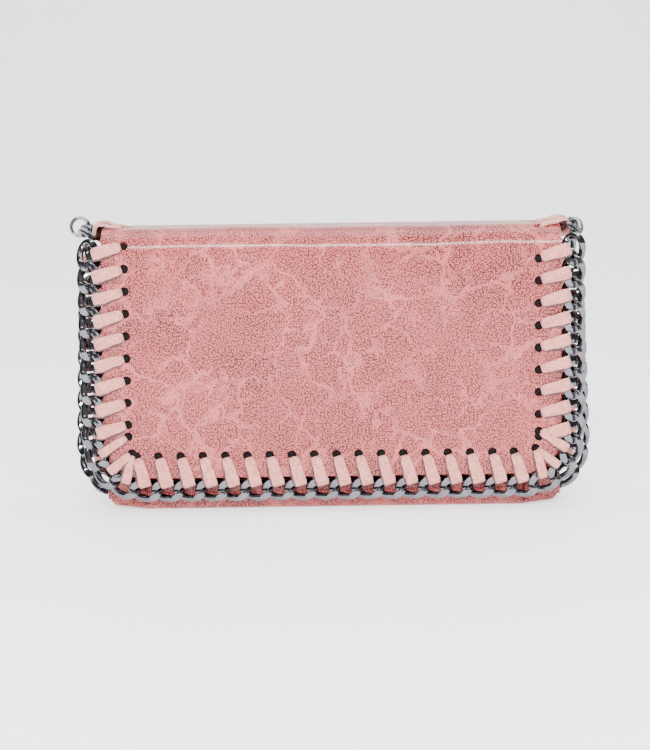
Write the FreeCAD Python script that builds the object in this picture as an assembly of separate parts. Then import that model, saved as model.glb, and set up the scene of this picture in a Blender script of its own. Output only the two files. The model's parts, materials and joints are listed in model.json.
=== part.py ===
import FreeCAD, Part
import math
import os

# A flap wallet of one leather sheet whose edges are trimmed with curb chain and whip-stitched lace.
# Millimetres. +Z is up, the flap faces -Y, and the origin is under the middle of the bottom fold.

V = FreeCAD.Vector

# Leather shell
LEATHER = 1.6
BODY_HALF_DEPTH = 15.6
SHOULDER_R = 9.0
SHOULDER_Z = 101.0
FLAP_GAP = 3.2
FLAP_HALF_WIDTH = 88.2
FLAP_EDGE_Z = 13.5
FLAP_CORNER_R = 13.0
CORNER_EASE = 2.2
POUCH_FLAT_HALF = 74.0
POUCH_SIDE_HALF = 79.5
MOUTH_Z = 96.0
BOTTOM_FOLD_R = 3.0
LINING = 0.6
BOARD = 0.7
LINED_HALF_WIDTH = 77.5

# The seam plane of the body, which leans back from mid depth at the bottom to the back wall at the top
SEAM_Y_LOW = -2.5
SEAM_Y_HIGH = 14.0
SEAM_Z_LOW = 5.0

SEAM_INTO_FOLD = 0.5
FOLD_CLEAR_DEG = 1.2

# Chain
PITCH = 8.6
WIRE = 2.1
LINK_WIDTH = 9.4
LINK_LENGTH = PITCH + 2 * WIRE + 0.4
LINK_TWIST = 1.75
LINK_HALF_THICK = 2.15
LINK_FACETS = 14
CHAIN_OFFSET = LINK_WIDTH / 2 + 0.1
END_GAP = 0.25
BODY_END_GAP = 0.45
FLAP_CHAIN_X = FLAP_HALF_WIDTH + CHAIN_OFFSET
BODY_CHAIN_X = 97.5
BODY_NECK_X = 96.2
BODY_NECK_Z = 85.0
NECK_EASE = 0.5
BODY_CHAIN_R = 16.0
BODY_CHAIN_START_X = 75.5

# Lace
LACE_HALF_WIDTH = 2.0
LACE_NARROW = 1.4
LACE_THICK = 1.0
LACE_LIFT = 2.5
LACE_SLANT = 3.3
LEG_NEAR = -2.1
LEG_FAR = -1.2
HOLE_R = 1.5
PLUG_R = 1.1
FLAP_HOLE_INSET = 8.6
BODY_HOLE_INSET = 6.9

# Corner tabs and the strap ring
TAB_FRONT_Y = -15.3
TAB_NEAR_X = 75.0
TAB_FAR_X = 88.0
TAB_THICK = 1.3
TAB_Z_LOW = 1.0
TAB_Z_HIGH = 11.5
TAB_HOLE_X = 79.0
TAB_HOLE_Z = 5.0
STRAP_LOW = 3.2
STRAP_HEIGHT = 3.6
STRAP_LIFT = 0.15
STRAP_END_X = 89.4
RING_MEAN_R = 3.55
RING_WIRE_R = 0.65

# Snap
SNAP_Z = 34.0
SNAP_R = 7.5
SNAP_RECESS_R = 3.2
SNAP_POST_R = 2.2
SNAP_PRONG_X = 3.6

# Coin pocket and zip
COIN_HALF = 66.0
COIN_INNER = 2.9
COIN_TOP = 78.0
ZIP_HALF = 56.0
TOOTH_PITCH = 2.0
SLIDER_X = 50.0
PIN_Z = 82.6
PULL_LENGTH = 18.0

# Card slots
CARD_HALF = 44.0
CARD_TOPS = (80.0, 72.0, 64.0, 56.0)

FRONT_WALL = -BODY_HALF_DEPTH
BACK_WALL = BODY_HALF_DEPTH
FLAP_FACE = FRONT_WALL - FLAP_GAP - LEATHER
FLAP_MID = FLAP_FACE + LEATHER / 2
BACK_CENTRE = BACK_WALL - SHOULDER_R
FRONT_CENTRE = FLAP_FACE + SHOULDER_R
TOP_Z = SHOULDER_Z + SHOULDER_R
MID_R = SHOULDER_R - LEATHER / 2
INNER_WALL = BODY_HALF_DEPTH - LEATHER


def save(name, shape):
    shape.exportStep("parts/" + name + ".step")


def box(x0, x1, y0, y1, z0, z1):
    return Part.makeBox(x1 - x0, y1 - y0, z1 - z0, V(x0, y0, z0))


def rod(radius, start, end):
    along = end.sub(start)
    return Part.makeCylinder(radius, along.Length, start, along)


def prism(points, along):
    wire = Part.makePolygon(points + [points[0]])
    return Part.Face(wire).extrude(along)


def mirrored(shape):
    return shape.mirror(V(0, 0, 0), V(1, 0, 0))


def seam_y(z):
    share = (z - SEAM_Z_LOW) / (SHOULDER_Z - SEAM_Z_LOW)
    return SEAM_Y_LOW + share * (SEAM_Y_HIGH - SEAM_Y_LOW)


SEAM_LEAN = math.atan((SEAM_Y_HIGH - SEAM_Y_LOW) / (SHOULDER_Z - SEAM_Z_LOW))
SEAM_NORMAL = V(0, math.cos(SEAM_LEAN), -math.sin(SEAM_LEAN))


# Paths: lists of (point, outward normal of the sheet), sampled finely


def line(start, end, normal, steps=60):
    return [(start + (end - start) * (i / steps), normal) for i in range(steps + 1)]


def shoulder(x, centre_y, first, last, radius=MID_R, steps=60):
    path = []
    for i in range(steps + 1):
        a = math.radians(first + (last - first) * i / steps)
        normal = V(0, -math.sin(a), math.cos(a))
        path.append((V(x, centre_y, SHOULDER_Z) + normal * radius, normal))
    return path


def corner(centre_x, centre_z, radius, first, last, y_of, normal, steps=60):
    path = []
    for i in range(steps + 1):
        a = math.radians(first + (last - first) * i / steps)
        x = centre_x + radius * math.cos(a)
        z = centre_z + radius * math.sin(a)
        path.append((V(x, y_of(z), z), normal))
    return path


def reversed_mirror(path):
    return [(V(-p.x, p.y, p.z), V(-n.x, n.y, n.z)) for p, n in reversed(path)]


def lengths(path):
    total = [0.0]
    for (a, _), (b, _) in zip(path, path[1:]):
        total.append(total[-1] + (b - a).Length)
    return total


def at(path, total, s):
    i = 0
    while i < len(path) - 2 and total[i + 1] < s:
        i += 1
    share = (s - total[i]) / max(total[i + 1] - total[i], 1e-9)
    (a, n), (b, m) = path[i], path[i + 1]
    return a + (b - a) * share, n + (m - n) * share


def body_path():
    """Left side, from under the corner up to the back fold's axis."""
    x, r = BODY_CHAIN_X, BODY_CHAIN_R
    z = SEAM_Z_LOW + r
    start = V(-BODY_CHAIN_START_X, seam_y(SEAM_Z_LOW), SEAM_Z_LOW)
    turn = corner(-(x - r), z, r, 270, 180, seam_y, SEAM_NORMAL)
    back = shoulder(-FLAP_CHAIN_X, BACK_CENTRE, -90, -45)
    neck = V(-BODY_NECK_X, seam_y(BODY_NECK_Z), BODY_NECK_Z)
    side = line(turn[-1][0], neck, SEAM_NORMAL) + line(neck, back[0][0], SEAM_NORMAL)
    return line(start, turn[0][0], SEAM_NORMAL, 4) + turn + side + back


def bridge_path():
    """Left side, from the back fold's axis to the front fold's axis."""
    back = shoulder(-FLAP_CHAIN_X, BACK_CENTRE, -45, 0)
    front = shoulder(-FLAP_CHAIN_X, FRONT_CENTRE, 0, 45)
    return back + line(back[-1][0], front[0][0], V(0, 0, 1)) + front


def flap_path():
    """From the front fold's axis down the left side, along the bottom and up the right side."""
    face = V(0, -1, 0)
    r = FLAP_CORNER_R + CHAIN_OFFSET
    x, z = FLAP_CHAIN_X - r, FLAP_EDGE_Z - CHAIN_OFFSET + r
    fold = shoulder(-FLAP_CHAIN_X, FRONT_CENTRE, 45, 90)
    turn = corner(-x, z, r, 180, 270, lambda _: FLAP_MID, face)
    left = fold + line(fold[-1][0], turn[0][0], face) + turn
    return left + line(turn[-1][0], V(0, FLAP_MID, z - r), face) + reversed_mirror(left)


def frames(path, count, pitch, first):
    """Centre, tangent, outward and normal of each link, its ends lying on the path."""
    total = lengths(path)
    found = []
    for k in range(count):
        a, _ = at(path, total, first + k * pitch)
        b, _ = at(path, total, first + (k + 1) * pitch)
        _, normal = at(path, total, first + (k + 0.5) * pitch)
        along = (b - a).normalize()
        normal = (normal - along * normal.dot(along)).normalize()
        found.append(((a + b) * 0.5, along, along.cross(normal), normal))
    return found


OVERHANG = (LINK_LENGTH - PITCH) / 2


def body_frames():
    path = body_path()
    whole = lengths(path)[-1]
    count = int((whole - BODY_END_GAP - 2 * OVERHANG) / PITCH)
    first = whole - BODY_END_GAP - OVERHANG - count * PITCH
    return frames(path, count, PITCH, first)


def bridge_frames():
    path = bridge_path()
    whole = lengths(path)[-1]
    return frames(path, 3, PITCH, (whole - 3 * PITCH) / 2)


def flap_frames():
    path = flap_path()
    run = lengths(path)[-1] - 2 * (END_GAP + OVERHANG)
    count = round(run / PITCH)
    return frames(path, count, run / count, END_GAP + OVERHANG)


def placed(shape, frame):
    centre, along, out, normal = frame
    m = FreeCAD.Matrix(
        along.x, out.x, normal.x, centre.x,
        along.y, out.y, normal.y, centre.y,
        along.z, out.z, normal.z, centre.z,
        0, 0, 0, 1,
    )
    copy = shape.copy()
    copy.transformShape(m, True)
    return copy


def link_point(turn):
    half_length = (LINK_LENGTH - WIRE) / 2
    half_width = (LINK_WIDTH - WIRE) / 2
    t = 2 * math.pi * turn / LINK_FACETS
    return V(half_length * math.cos(t), half_width * math.sin(t), LINK_TWIST * math.sin(2 * t))


def curb_link():
    """One twisted oval link of round wire, mitred at each bend and cut flat on its two faces."""
    reach = 3 * WIRE
    pieces = []
    for i in range(LINK_FACETS):
        before, a, b, after = (link_point(i + k) for k in (-1, 0, 1, 2))
        along = (b - a).normalize()
        piece = rod(WIRE / 2, a - along * reach, b + along * reach)
        for corner_point, other, sign in ((a, before, 1), (b, after, -1)):
            if sign > 0:
                mitre = ((corner_point - other).normalize() + along).normalize()
            else:
                mitre = ((other - corner_point).normalize() + along).normalize() * -1
            keep = Part.makeCylinder(2 * WIRE, 4 * reach, corner_point, mitre)
            piece = piece.common(keep)
        pieces.append(piece)
    link = pieces[0].fuse(pieces[1:]).removeSplitter()
    slab = box(-20, 20, -20, 20, -LINK_HALF_THICK, LINK_HALF_THICK)
    return link.common(slab).Solids[0]


LINK = curb_link()


def chain(link_frames):
    return Part.makeCompound([placed(LINK, f) for f in link_frames])


def stitch(frame, hole, half_width):
    """A lace loop from its hole, round the link's inner rail and back, in the link's frame."""
    centre, along, out, _ = frame
    rel = hole - centre
    ht, hn = rel.dot(along), rel.dot(out)
    narrow = 1.5
    back = hn - narrow
    legs = []
    for low in (LACE_LIFT, -LACE_LIFT - LACE_THICK):
        plate = [
            V(ht - narrow, back, low),
            V(ht + narrow, back, low),
            V(half_width, LEG_FAR, low),
            V(-half_width, LEG_FAR, low),
        ]
        legs.append(prism(plate, V(0, 0, LACE_THICK)))
    top = LACE_LIFT + LACE_THICK
    legs.append(box(-half_width, half_width, LEG_NEAR, LEG_FAR, -top, top))
    legs.append(rod(PLUG_R, V(ht, hn, -top + 0.5), V(ht, hn, top - 0.5)))
    return placed(legs[0].fuse(legs[1:]).removeSplitter(), frame)


def hole_for(frame, inset):
    centre, along, out, _ = frame
    return centre - out * (CHAIN_OFFSET + inset) - along * LACE_SLANT


def flap_hole(frame):
    """Holes follow the flap's edge, and the laces at a bottom corner share one."""
    centre = frame[0]
    radius = FLAP_CORNER_R + CHAIN_OFFSET
    turn_x = FLAP_CHAIN_X - radius
    turn_z = FLAP_EDGE_Z + FLAP_CORNER_R
    inner = FLAP_CORNER_R - FLAP_HOLE_INSET
    plain = hole_for(frame, FLAP_HOLE_INSET)
    side = math.copysign(1, centre.x)
    if abs(centre.x) < turn_x or centre.z > turn_z:
        return plain
    angle = math.degrees(math.atan2(turn_z - centre.z, abs(centre.x) - turn_x))
    if angle < 22:
        return V(side * (FLAP_HALF_WIDTH - FLAP_HOLE_INSET), FLAP_MID, turn_z + 3.6)
    if angle > 68:
        return V(side * (turn_x - 3.6), FLAP_MID, FLAP_EDGE_Z + FLAP_HOLE_INSET)
    reach = inner * math.cos(math.radians(45))
    return V(side * (turn_x + reach), FLAP_MID, turn_z - reach)


def above_corner(link_frames):
    """The links whose lace goes through the seam and not through the corner tab."""
    return [f for f in link_frames if f[0].z > SEAM_Z_LOW + BODY_CHAIN_R * 0.6]


def is_turning(frame):
    return abs(frame[1].x) > 0.05 and abs(frame[1].z) > 0.05


def lace(link_frames, holes):
    loops = []
    for frame, hole in zip(link_frames, holes):
        half_width = LACE_NARROW if is_turning(frame) else LACE_HALF_WIDTH
        loops.append(stitch(frame, hole, half_width))
    joined = loops[0].fuse(loops[1:])
    return Part.makeCompound(joined.Solids)


def punched(sheet, link_frames, holes):
    done = []
    tools = []
    for frame, hole in zip(link_frames, holes):
        if all((hole - other).Length > 0.5 for other in done):
            done.append(hole)
            normal = frame[3]
            tools.append(rod(HOLE_R, hole - normal * 4, hole + normal * 4))
    return sheet.cut(tools)


# Shell


def sector(centre_y, first, last, outer, inner, half_width):
    """A slice of a shoulder between two radii and two angles, across the width."""
    ring = []
    for radius, a, b in ((outer, first, last), (inner, last, first)):
        points = []
        for angle in (a, (a + b) / 2, b):
            t = math.radians(angle)
            y = centre_y - radius * math.sin(t)
            points.append(V(-half_width, y, SHOULDER_Z + radius * math.cos(t)))
        ring.append(Part.Arc(*points).toShape())
    first_edge = Part.makeLine(ring[0].Vertexes[1].Point, ring[1].Vertexes[0].Point)
    last_edge = Part.makeLine(ring[1].Vertexes[1].Point, ring[0].Vertexes[0].Point)
    face = Part.Face(Part.Wire([ring[0], first_edge, ring[1], last_edge]))
    return face.extrude(V(2 * half_width, 0, 0))


def flap_outline(half_width, low, high, radius, y, thick):
    sheet = box(-half_width, half_width, y, y + thick, low, high)
    near = 0.01
    edges = []
    for e in sheet.Edges:
        middle = e.CenterOfMass
        if abs(middle.z - low) < near and abs(abs(middle.x) - half_width) < near:
            edges.append(e)
    return sheet.makeFillet(radius, edges)


def pouch_section(flat, side, depth, half_seam, z):
    y = seam_y(z)
    points = [
        V(flat, -depth, z), V(side, y - half_seam, z), V(side, y + half_seam, z), V(flat, depth, z),
        V(-flat, depth, z), V(-side, y + half_seam, z), V(-side, y - half_seam, z), V(-flat, -depth, z),
    ]
    return Part.makePolygon(points + [points[0]])


def seam_flange():
    """The two walls laid flat together down each side, rounded at the bottom corner."""
    r = BODY_CHAIN_R - CHAIN_OFFSET + CORNER_EASE
    x, z = BODY_CHAIN_X - CHAIN_OFFSET, CHAIN_OFFSET
    top_x = FLAP_CHAIN_X - CHAIN_OFFSET
    top_z = (SHOULDER_Z - SEAM_Z_LOW) / math.cos(SEAM_LEAN) + SEAM_INTO_FOLD
    a = V(60, 0, z)
    b = V(x - r, 0, z)
    middle = V(x - r + r * math.sin(math.pi / 4), 0, z + r - r * math.cos(math.pi / 4))
    c = V(x, 0, z + r)
    neck_x = BODY_NECK_X - CHAIN_OFFSET - NECK_EASE
    neck = V(neck_x, 0, (BODY_NECK_Z - SEAM_Z_LOW) / math.cos(SEAM_LEAN))
    d = V(top_x, 0, top_z)
    e = V(60, 0, top_z)
    edges = [
        Part.makeLine(a, b), Part.Arc(b, middle, c).toShape(), Part.makeLine(c, neck),
        Part.makeLine(neck, d), Part.makeLine(d, e), Part.makeLine(e, a),
    ]
    plate = Part.Face(Part.Wire(edges)).extrude(V(0, 2 * LEATHER, 0))
    plate.translate(V(0, -LEATHER, 0))
    plate.rotate(V(0, 0, 0), V(1, 0, 0), -math.degrees(SEAM_LEAN))
    plate.translate(V(0, seam_y(SEAM_Z_LOW), SEAM_Z_LOW))
    return plate


def pouch_block(flat, side, depth, half_seam, low, high):
    sections = [pouch_section(flat, side, depth, half_seam, z) for z in (low, high)]
    return Part.makeLoft(sections, True, True)


def body_leather(holes, link_frames):
    half_seam = LEATHER - 0.05
    outer = pouch_block(POUCH_FLAT_HALF, POUCH_SIDE_HALF, BODY_HALF_DEPTH, half_seam, 0, SHOULDER_Z)
    inner_side = POUCH_SIDE_HALF - 2
    inner = pouch_block(POUCH_FLAT_HALF - 1, inner_side, INNER_WALL, 0.5, LEATHER, SHOULDER_Z + 9)
    low_corner = box(71.3, 95, -20, 20, -1, SEAM_Z_LOW + CHAIN_OFFSET + LEATHER)
    inner = inner.cut([low_corner, mirrored(low_corner)])
    flange = seam_flange()
    shell = outer.fuse([flange, mirrored(flange)]).cut(inner)
    y = seam_y(SEAM_Z_LOW)
    slot = box(72.9, 99, y - 4.2, y + 4.6, -1, SEAM_Z_LOW + CHAIN_OFFSET)
    above = box(-99, 99, -20, INNER_WALL - 3.2, MOUTH_Z, 120)
    r = BOTTOM_FOLD_R
    folds = []
    for sign in (-1, 1):
        centre_y = sign * (BODY_HALF_DEPTH - r)
        y0, y1 = sorted((sign * (BODY_HALF_DEPTH + 1), centre_y))
        edge = box(-99, 99, y0, y1, -1, r)
        folds.append(edge.cut(rod(r, V(-100, centre_y, r), V(100, centre_y, r))))
    shell = shell.cut([slot, mirrored(slot), above] + folds)
    inner_r = SHOULDER_R - LEATHER
    fold = sector(BACK_CENTRE, -90, -45 - FOLD_CLEAR_DEG, SHOULDER_R, inner_r, FLAP_HALF_WIDTH)
    shell = punched(shell.fuse(fold), link_frames, holes)
    slots = []
    for x in (-SNAP_PRONG_X, SNAP_PRONG_X):
        slots.append(box(x - 2, x + 2, FRONT_WALL - 1, -INNER_WALL + 1, SNAP_Z - 0.4, SNAP_Z + 0.4))
    return shell.cut(slots)


def tab_end_y():
    return seam_y(SEAM_Z_LOW) - LINK_WIDTH / 2 + 0.1


def corner_tab():
    """Leather folded round the end of the body chain at the right bottom corner."""
    y_in, y_out = TAB_FRONT_Y, tab_end_y()
    plan = [
        V(TAB_NEAR_X, y_in, TAB_Z_LOW), V(TAB_FAR_X, y_out - TAB_THICK, TAB_Z_LOW),
        V(TAB_FAR_X, y_out, TAB_Z_LOW), V(TAB_NEAR_X, y_in + TAB_THICK + 0.1, TAB_Z_LOW),
    ]
    tab = prism(plan, V(0, 0, TAB_Z_HIGH - TAB_Z_LOW))
    return tab.cut(rod(HOLE_R, V(TAB_HOLE_X, -20, TAB_HOLE_Z), V(TAB_HOLE_X, 0, TAB_HOLE_Z)))


def corner_lace():
    """The stitch that holds the right tab, from its hole round its outer end."""
    y_in, y_out = TAB_FRONT_Y, tab_end_y()
    slope = (y_out - TAB_THICK - y_in) / (TAB_FAR_X - TAB_NEAR_X)
    start_x, end_x = TAB_HOLE_X - 1.0, STRAP_END_X
    lift, top = STRAP_LIFT, STRAP_LIFT + LACE_THICK - 0.05
    front = []
    for x, off in ((start_x, lift), (end_x, lift), (end_x, top), (start_x, top)):
        front.append(V(x, y_in + slope * (x - TAB_NEAR_X) - off, STRAP_LOW))
    strap = prism(front, V(0, 0, STRAP_HEIGHT))
    end = box(end_x - 1.1, end_x, y_out - 1.6, y_out + 0.2, STRAP_LOW, STRAP_LOW + STRAP_HEIGHT)
    hole_y = y_in + slope * (TAB_HOLE_X - TAB_NEAR_X)
    plug = rod(PLUG_R, V(TAB_HOLE_X, hole_y - 0.6, TAB_HOLE_Z), V(TAB_HOLE_X, hole_y + 1.2, TAB_HOLE_Z))
    return strap.fuse([end, plug]).removeSplitter()


def body_lining():
    half, depth, low, high = 71.0, INNER_WALL - BOARD - 0.2, LEATHER + 0.2, MOUTH_Z - 1
    bag = box(-half, half, -depth, depth, low, high)
    hollow = box(-half + LINING, half - LINING, -depth + LINING, depth - LINING, low + LINING, high + 1)
    return bag.cut(hollow)


def wall_board(sign):
    y0, y1 = sorted((sign * (INNER_WALL - 0.05), sign * (INNER_WALL - 0.05 - BOARD)))
    board = box(-70, 70, y0, y1, 4, MOUTH_Z - 3)
    if sign < 0:
        board = board.cut(rod(SNAP_R - 1, V(0, y0 - 1, SNAP_Z), V(0, y1 + 1, SNAP_Z)))
    return board


def mouth_binding():
    outer = box(-73, 73, FRONT_WALL - 0.5, -INNER_WALL + 0.5, MOUTH_Z - 4, MOUTH_Z + 0.5)
    wall = box(-74, 74, FRONT_WALL, -INNER_WALL, MOUTH_Z - 5, MOUTH_Z)
    below = box(-74, 74, -INNER_WALL, 0, MOUTH_Z - 5, MOUTH_Z - 2.8)
    return outer.cut([wall, below])


def lace_tail():
    y = seam_y(SHOULDER_Z - 4) + 3.9
    tail = [V(-101.0, y, 95.4), V(-99.2, y, 92.6), V(-93.0, y, 96.2), V(-93.4, y, 100.0)]
    return prism(tail, V(0, LACE_THICK, 0))


def bridge_layer(outer, inner, half_width):
    back = sector(BACK_CENTRE, -45 + FOLD_CLEAR_DEG, 0, outer, inner, half_width)
    front = sector(FRONT_CENTRE, 0, 45 - FOLD_CLEAR_DEG, outer, inner, half_width)
    top = box(-half_width, half_width, FRONT_CENTRE, BACK_CENTRE, SHOULDER_Z + inner, SHOULDER_Z + outer)
    return back.fuse([top, front]).removeSplitter()


def flap_layer(half_width, low, radius, outer, inner):
    sheet = flap_outline(half_width, low, SHOULDER_Z, radius, FRONT_CENTRE - outer, outer - inner)
    fold = sector(FRONT_CENTRE, 45 + FOLD_CLEAR_DEG, 90, outer, inner, half_width)
    return sheet.fuse(fold).removeSplitter()


def snap_prongs(y0, y1):
    prongs = []
    for x in (-SNAP_PRONG_X, SNAP_PRONG_X):
        prongs.append(box(x - 1.6, x + 1.6, y0, y1, SNAP_Z - 0.25, SNAP_Z + 0.25))
    return prongs


def snap_disc(radius, y0, y1):
    return rod(radius, V(0, y0, SNAP_Z), V(0, y1, SNAP_Z))


def snap_socket():
    cap = snap_disc(SNAP_R, FRONT_WALL - 1.1, FRONT_WALL)
    cap = cap.cut(snap_disc(SNAP_RECESS_R, FRONT_WALL - 2, FRONT_WALL - 0.1))
    return cap.fuse(snap_prongs(FRONT_WALL - 0.3, -INNER_WALL + 0.55)).removeSplitter()


def snap_washer(y0, y1):
    ring = snap_disc(SNAP_R - 1.5, y0, y1)
    gaps = []
    for x in (-SNAP_PRONG_X, SNAP_PRONG_X):
        gaps.append(box(x - 1.65, x + 1.65, y0 - 1, y1 + 1, SNAP_Z - 0.3, SNAP_Z + 0.3))
    return ring.cut(gaps)


def snap_stud():
    lining_back = FLAP_FACE + LEATHER + BOARD + LINING
    cap = snap_disc(SNAP_R, lining_back, lining_back + 0.5)
    post = snap_disc(SNAP_POST_R, lining_back, lining_back + 1.5)
    return cap.fuse([post] + snap_prongs(FLAP_FACE + LEATHER + 0.1, lining_back + 0.2)).removeSplitter()


def coin_leaf(sign):
    y0, y1 = sorted((sign * COIN_INNER, sign * (COIN_INNER + 0.7)))
    return box(-COIN_HALF, COIN_HALF, y0, y1, 6, COIN_TOP)


def coin_gusset():
    outer = box(-COIN_HALF, COIN_HALF, -COIN_INNER, COIN_INNER, 6, COIN_TOP)
    inner = box(-COIN_HALF + 0.7, COIN_HALF - 0.7, -COIN_INNER, COIN_INNER, 6.7, COIN_TOP + 1)
    return outer.cut(inner)


def zip_tape(sign):
    y0, y1 = sorted((sign * 0.9, sign * (COIN_INNER + 0.7)))
    return box(-ZIP_HALF - 6, ZIP_HALF + 6, y0, y1, COIN_TOP, COIN_TOP + 0.5)


def zip_teeth(sign):
    y0, y1 = sorted((sign * 0.6, sign * 1.7))
    count = int(2 * ZIP_HALF / TOOTH_PITCH)
    shift = TOOTH_PITCH / 2 if sign > 0 else 0
    teeth = []
    for i in range(count):
        x = -ZIP_HALF + shift + i * TOOTH_PITCH
        teeth.append(box(x - 0.6, x + 0.6, y0, y1, COIN_TOP + 0.5, COIN_TOP + 1.7))
    return Part.makeCompound(teeth)


def zip_stops():
    stops = []
    for x in (-ZIP_HALF - 2.6, ZIP_HALF + 2.6):
        for sign in (-1, 1):
            y0, y1 = sorted((sign * 0.95, sign * 2.1))
            stops.append(box(x - 1.0, x + 1.0, y0, y1, COIN_TOP + 0.5, COIN_TOP + 1.9))
    return Part.makeCompound(stops)


def zip_slider():
    x, top = SLIDER_X, COIN_TOP + 2.0
    under = box(x - 4.5, x + 4.5, -2.4, 2.4, COIN_TOP - 1.3, COIN_TOP - 0.3)
    post = box(x - 1.5, x + 1.5, -0.35, 0.35, COIN_TOP - 0.4, top + 0.1)
    over = box(x - 4.5, x + 4.5, -3.0, 3.0, top, top + 0.9)
    lips = [box(x - 4.5, x + 4.5, y0, y0 + 0.8, COIN_TOP + 0.9, top + 0.1) for y0 in (-3.0, 2.2)]
    lugs = []
    for y0 in (-2.2, 1.6):
        lug = box(x - 1.3, x + 1.3, y0, y0 + 0.6, top + 0.8, PIN_Z)
        lugs.append(lug.fuse(rod(1.3, V(x, y0, PIN_Z), V(x, y0 + 0.6, PIN_Z))))
    pin = rod(0.5, V(x, -2.0, PIN_Z), V(x, 2.0, PIN_Z))
    return under.fuse([post, over, pin] + lips + lugs).removeSplitter()


def zip_pull():
    x = SLIDER_X
    barrel = rod(1.15, V(x, -1.4, PIN_Z), V(x, 1.4, PIN_Z))
    neck = box(x - 5.0, x, -1.4, 1.4, PIN_Z - 0.45, PIN_Z + 0.45)
    tab = box(x - PULL_LENGTH, x - 4.0, -2.6, 2.6, PIN_Z - 0.45, PIN_Z + 0.45)
    uprights = [e for e in tab.Edges if abs(e.Vertexes[0].Z - e.Vertexes[1].Z) > 0.5]
    tab = tab.makeFillet(1.2, uprights)
    window = box(x - PULL_LENGTH + 2.2, x - 7.0, -1.2, 1.2, PIN_Z - 2, PIN_Z + 2)
    hole = rod(0.55, V(x, -3, PIN_Z), V(x, 3, PIN_Z))
    return barrel.fuse([neck, tab]).cut([window, hole]).removeSplitter()


def card_slot(index):
    back = INNER_WALL - BOARD - 0.2 - LINING - 0.1 - index * 0.9
    return box(-CARD_HALF, CARD_HALF, back - 0.8, back, 6, CARD_TOPS[index])


def strap_ring(frame):
    """A jump ring with a cut, through the middle link of the left bridge chain."""
    centre, _, out, _ = frame
    rail = centre + out * ((LINK_WIDTH - WIRE) / 2)
    middle = V(rail.x - 1.1, rail.y, rail.z + 1.15)
    ring = Part.makeTorus(RING_MEAN_R, RING_WIRE_R, middle, V(0, 1, 0))
    cut_way = V(-0.62, 0, -0.78)
    start = middle + cut_way * (RING_MEAN_R - 2)
    gap = Part.makeBox(0.25, 4, 4, V(-0.125, -2, 0))
    gap.rotate(V(0, 0, 0), V(0, 1, 0), math.degrees(math.atan2(cut_way.x, cut_way.z)))
    gap.translate(start)
    return ring.cut(gap), rail


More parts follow.
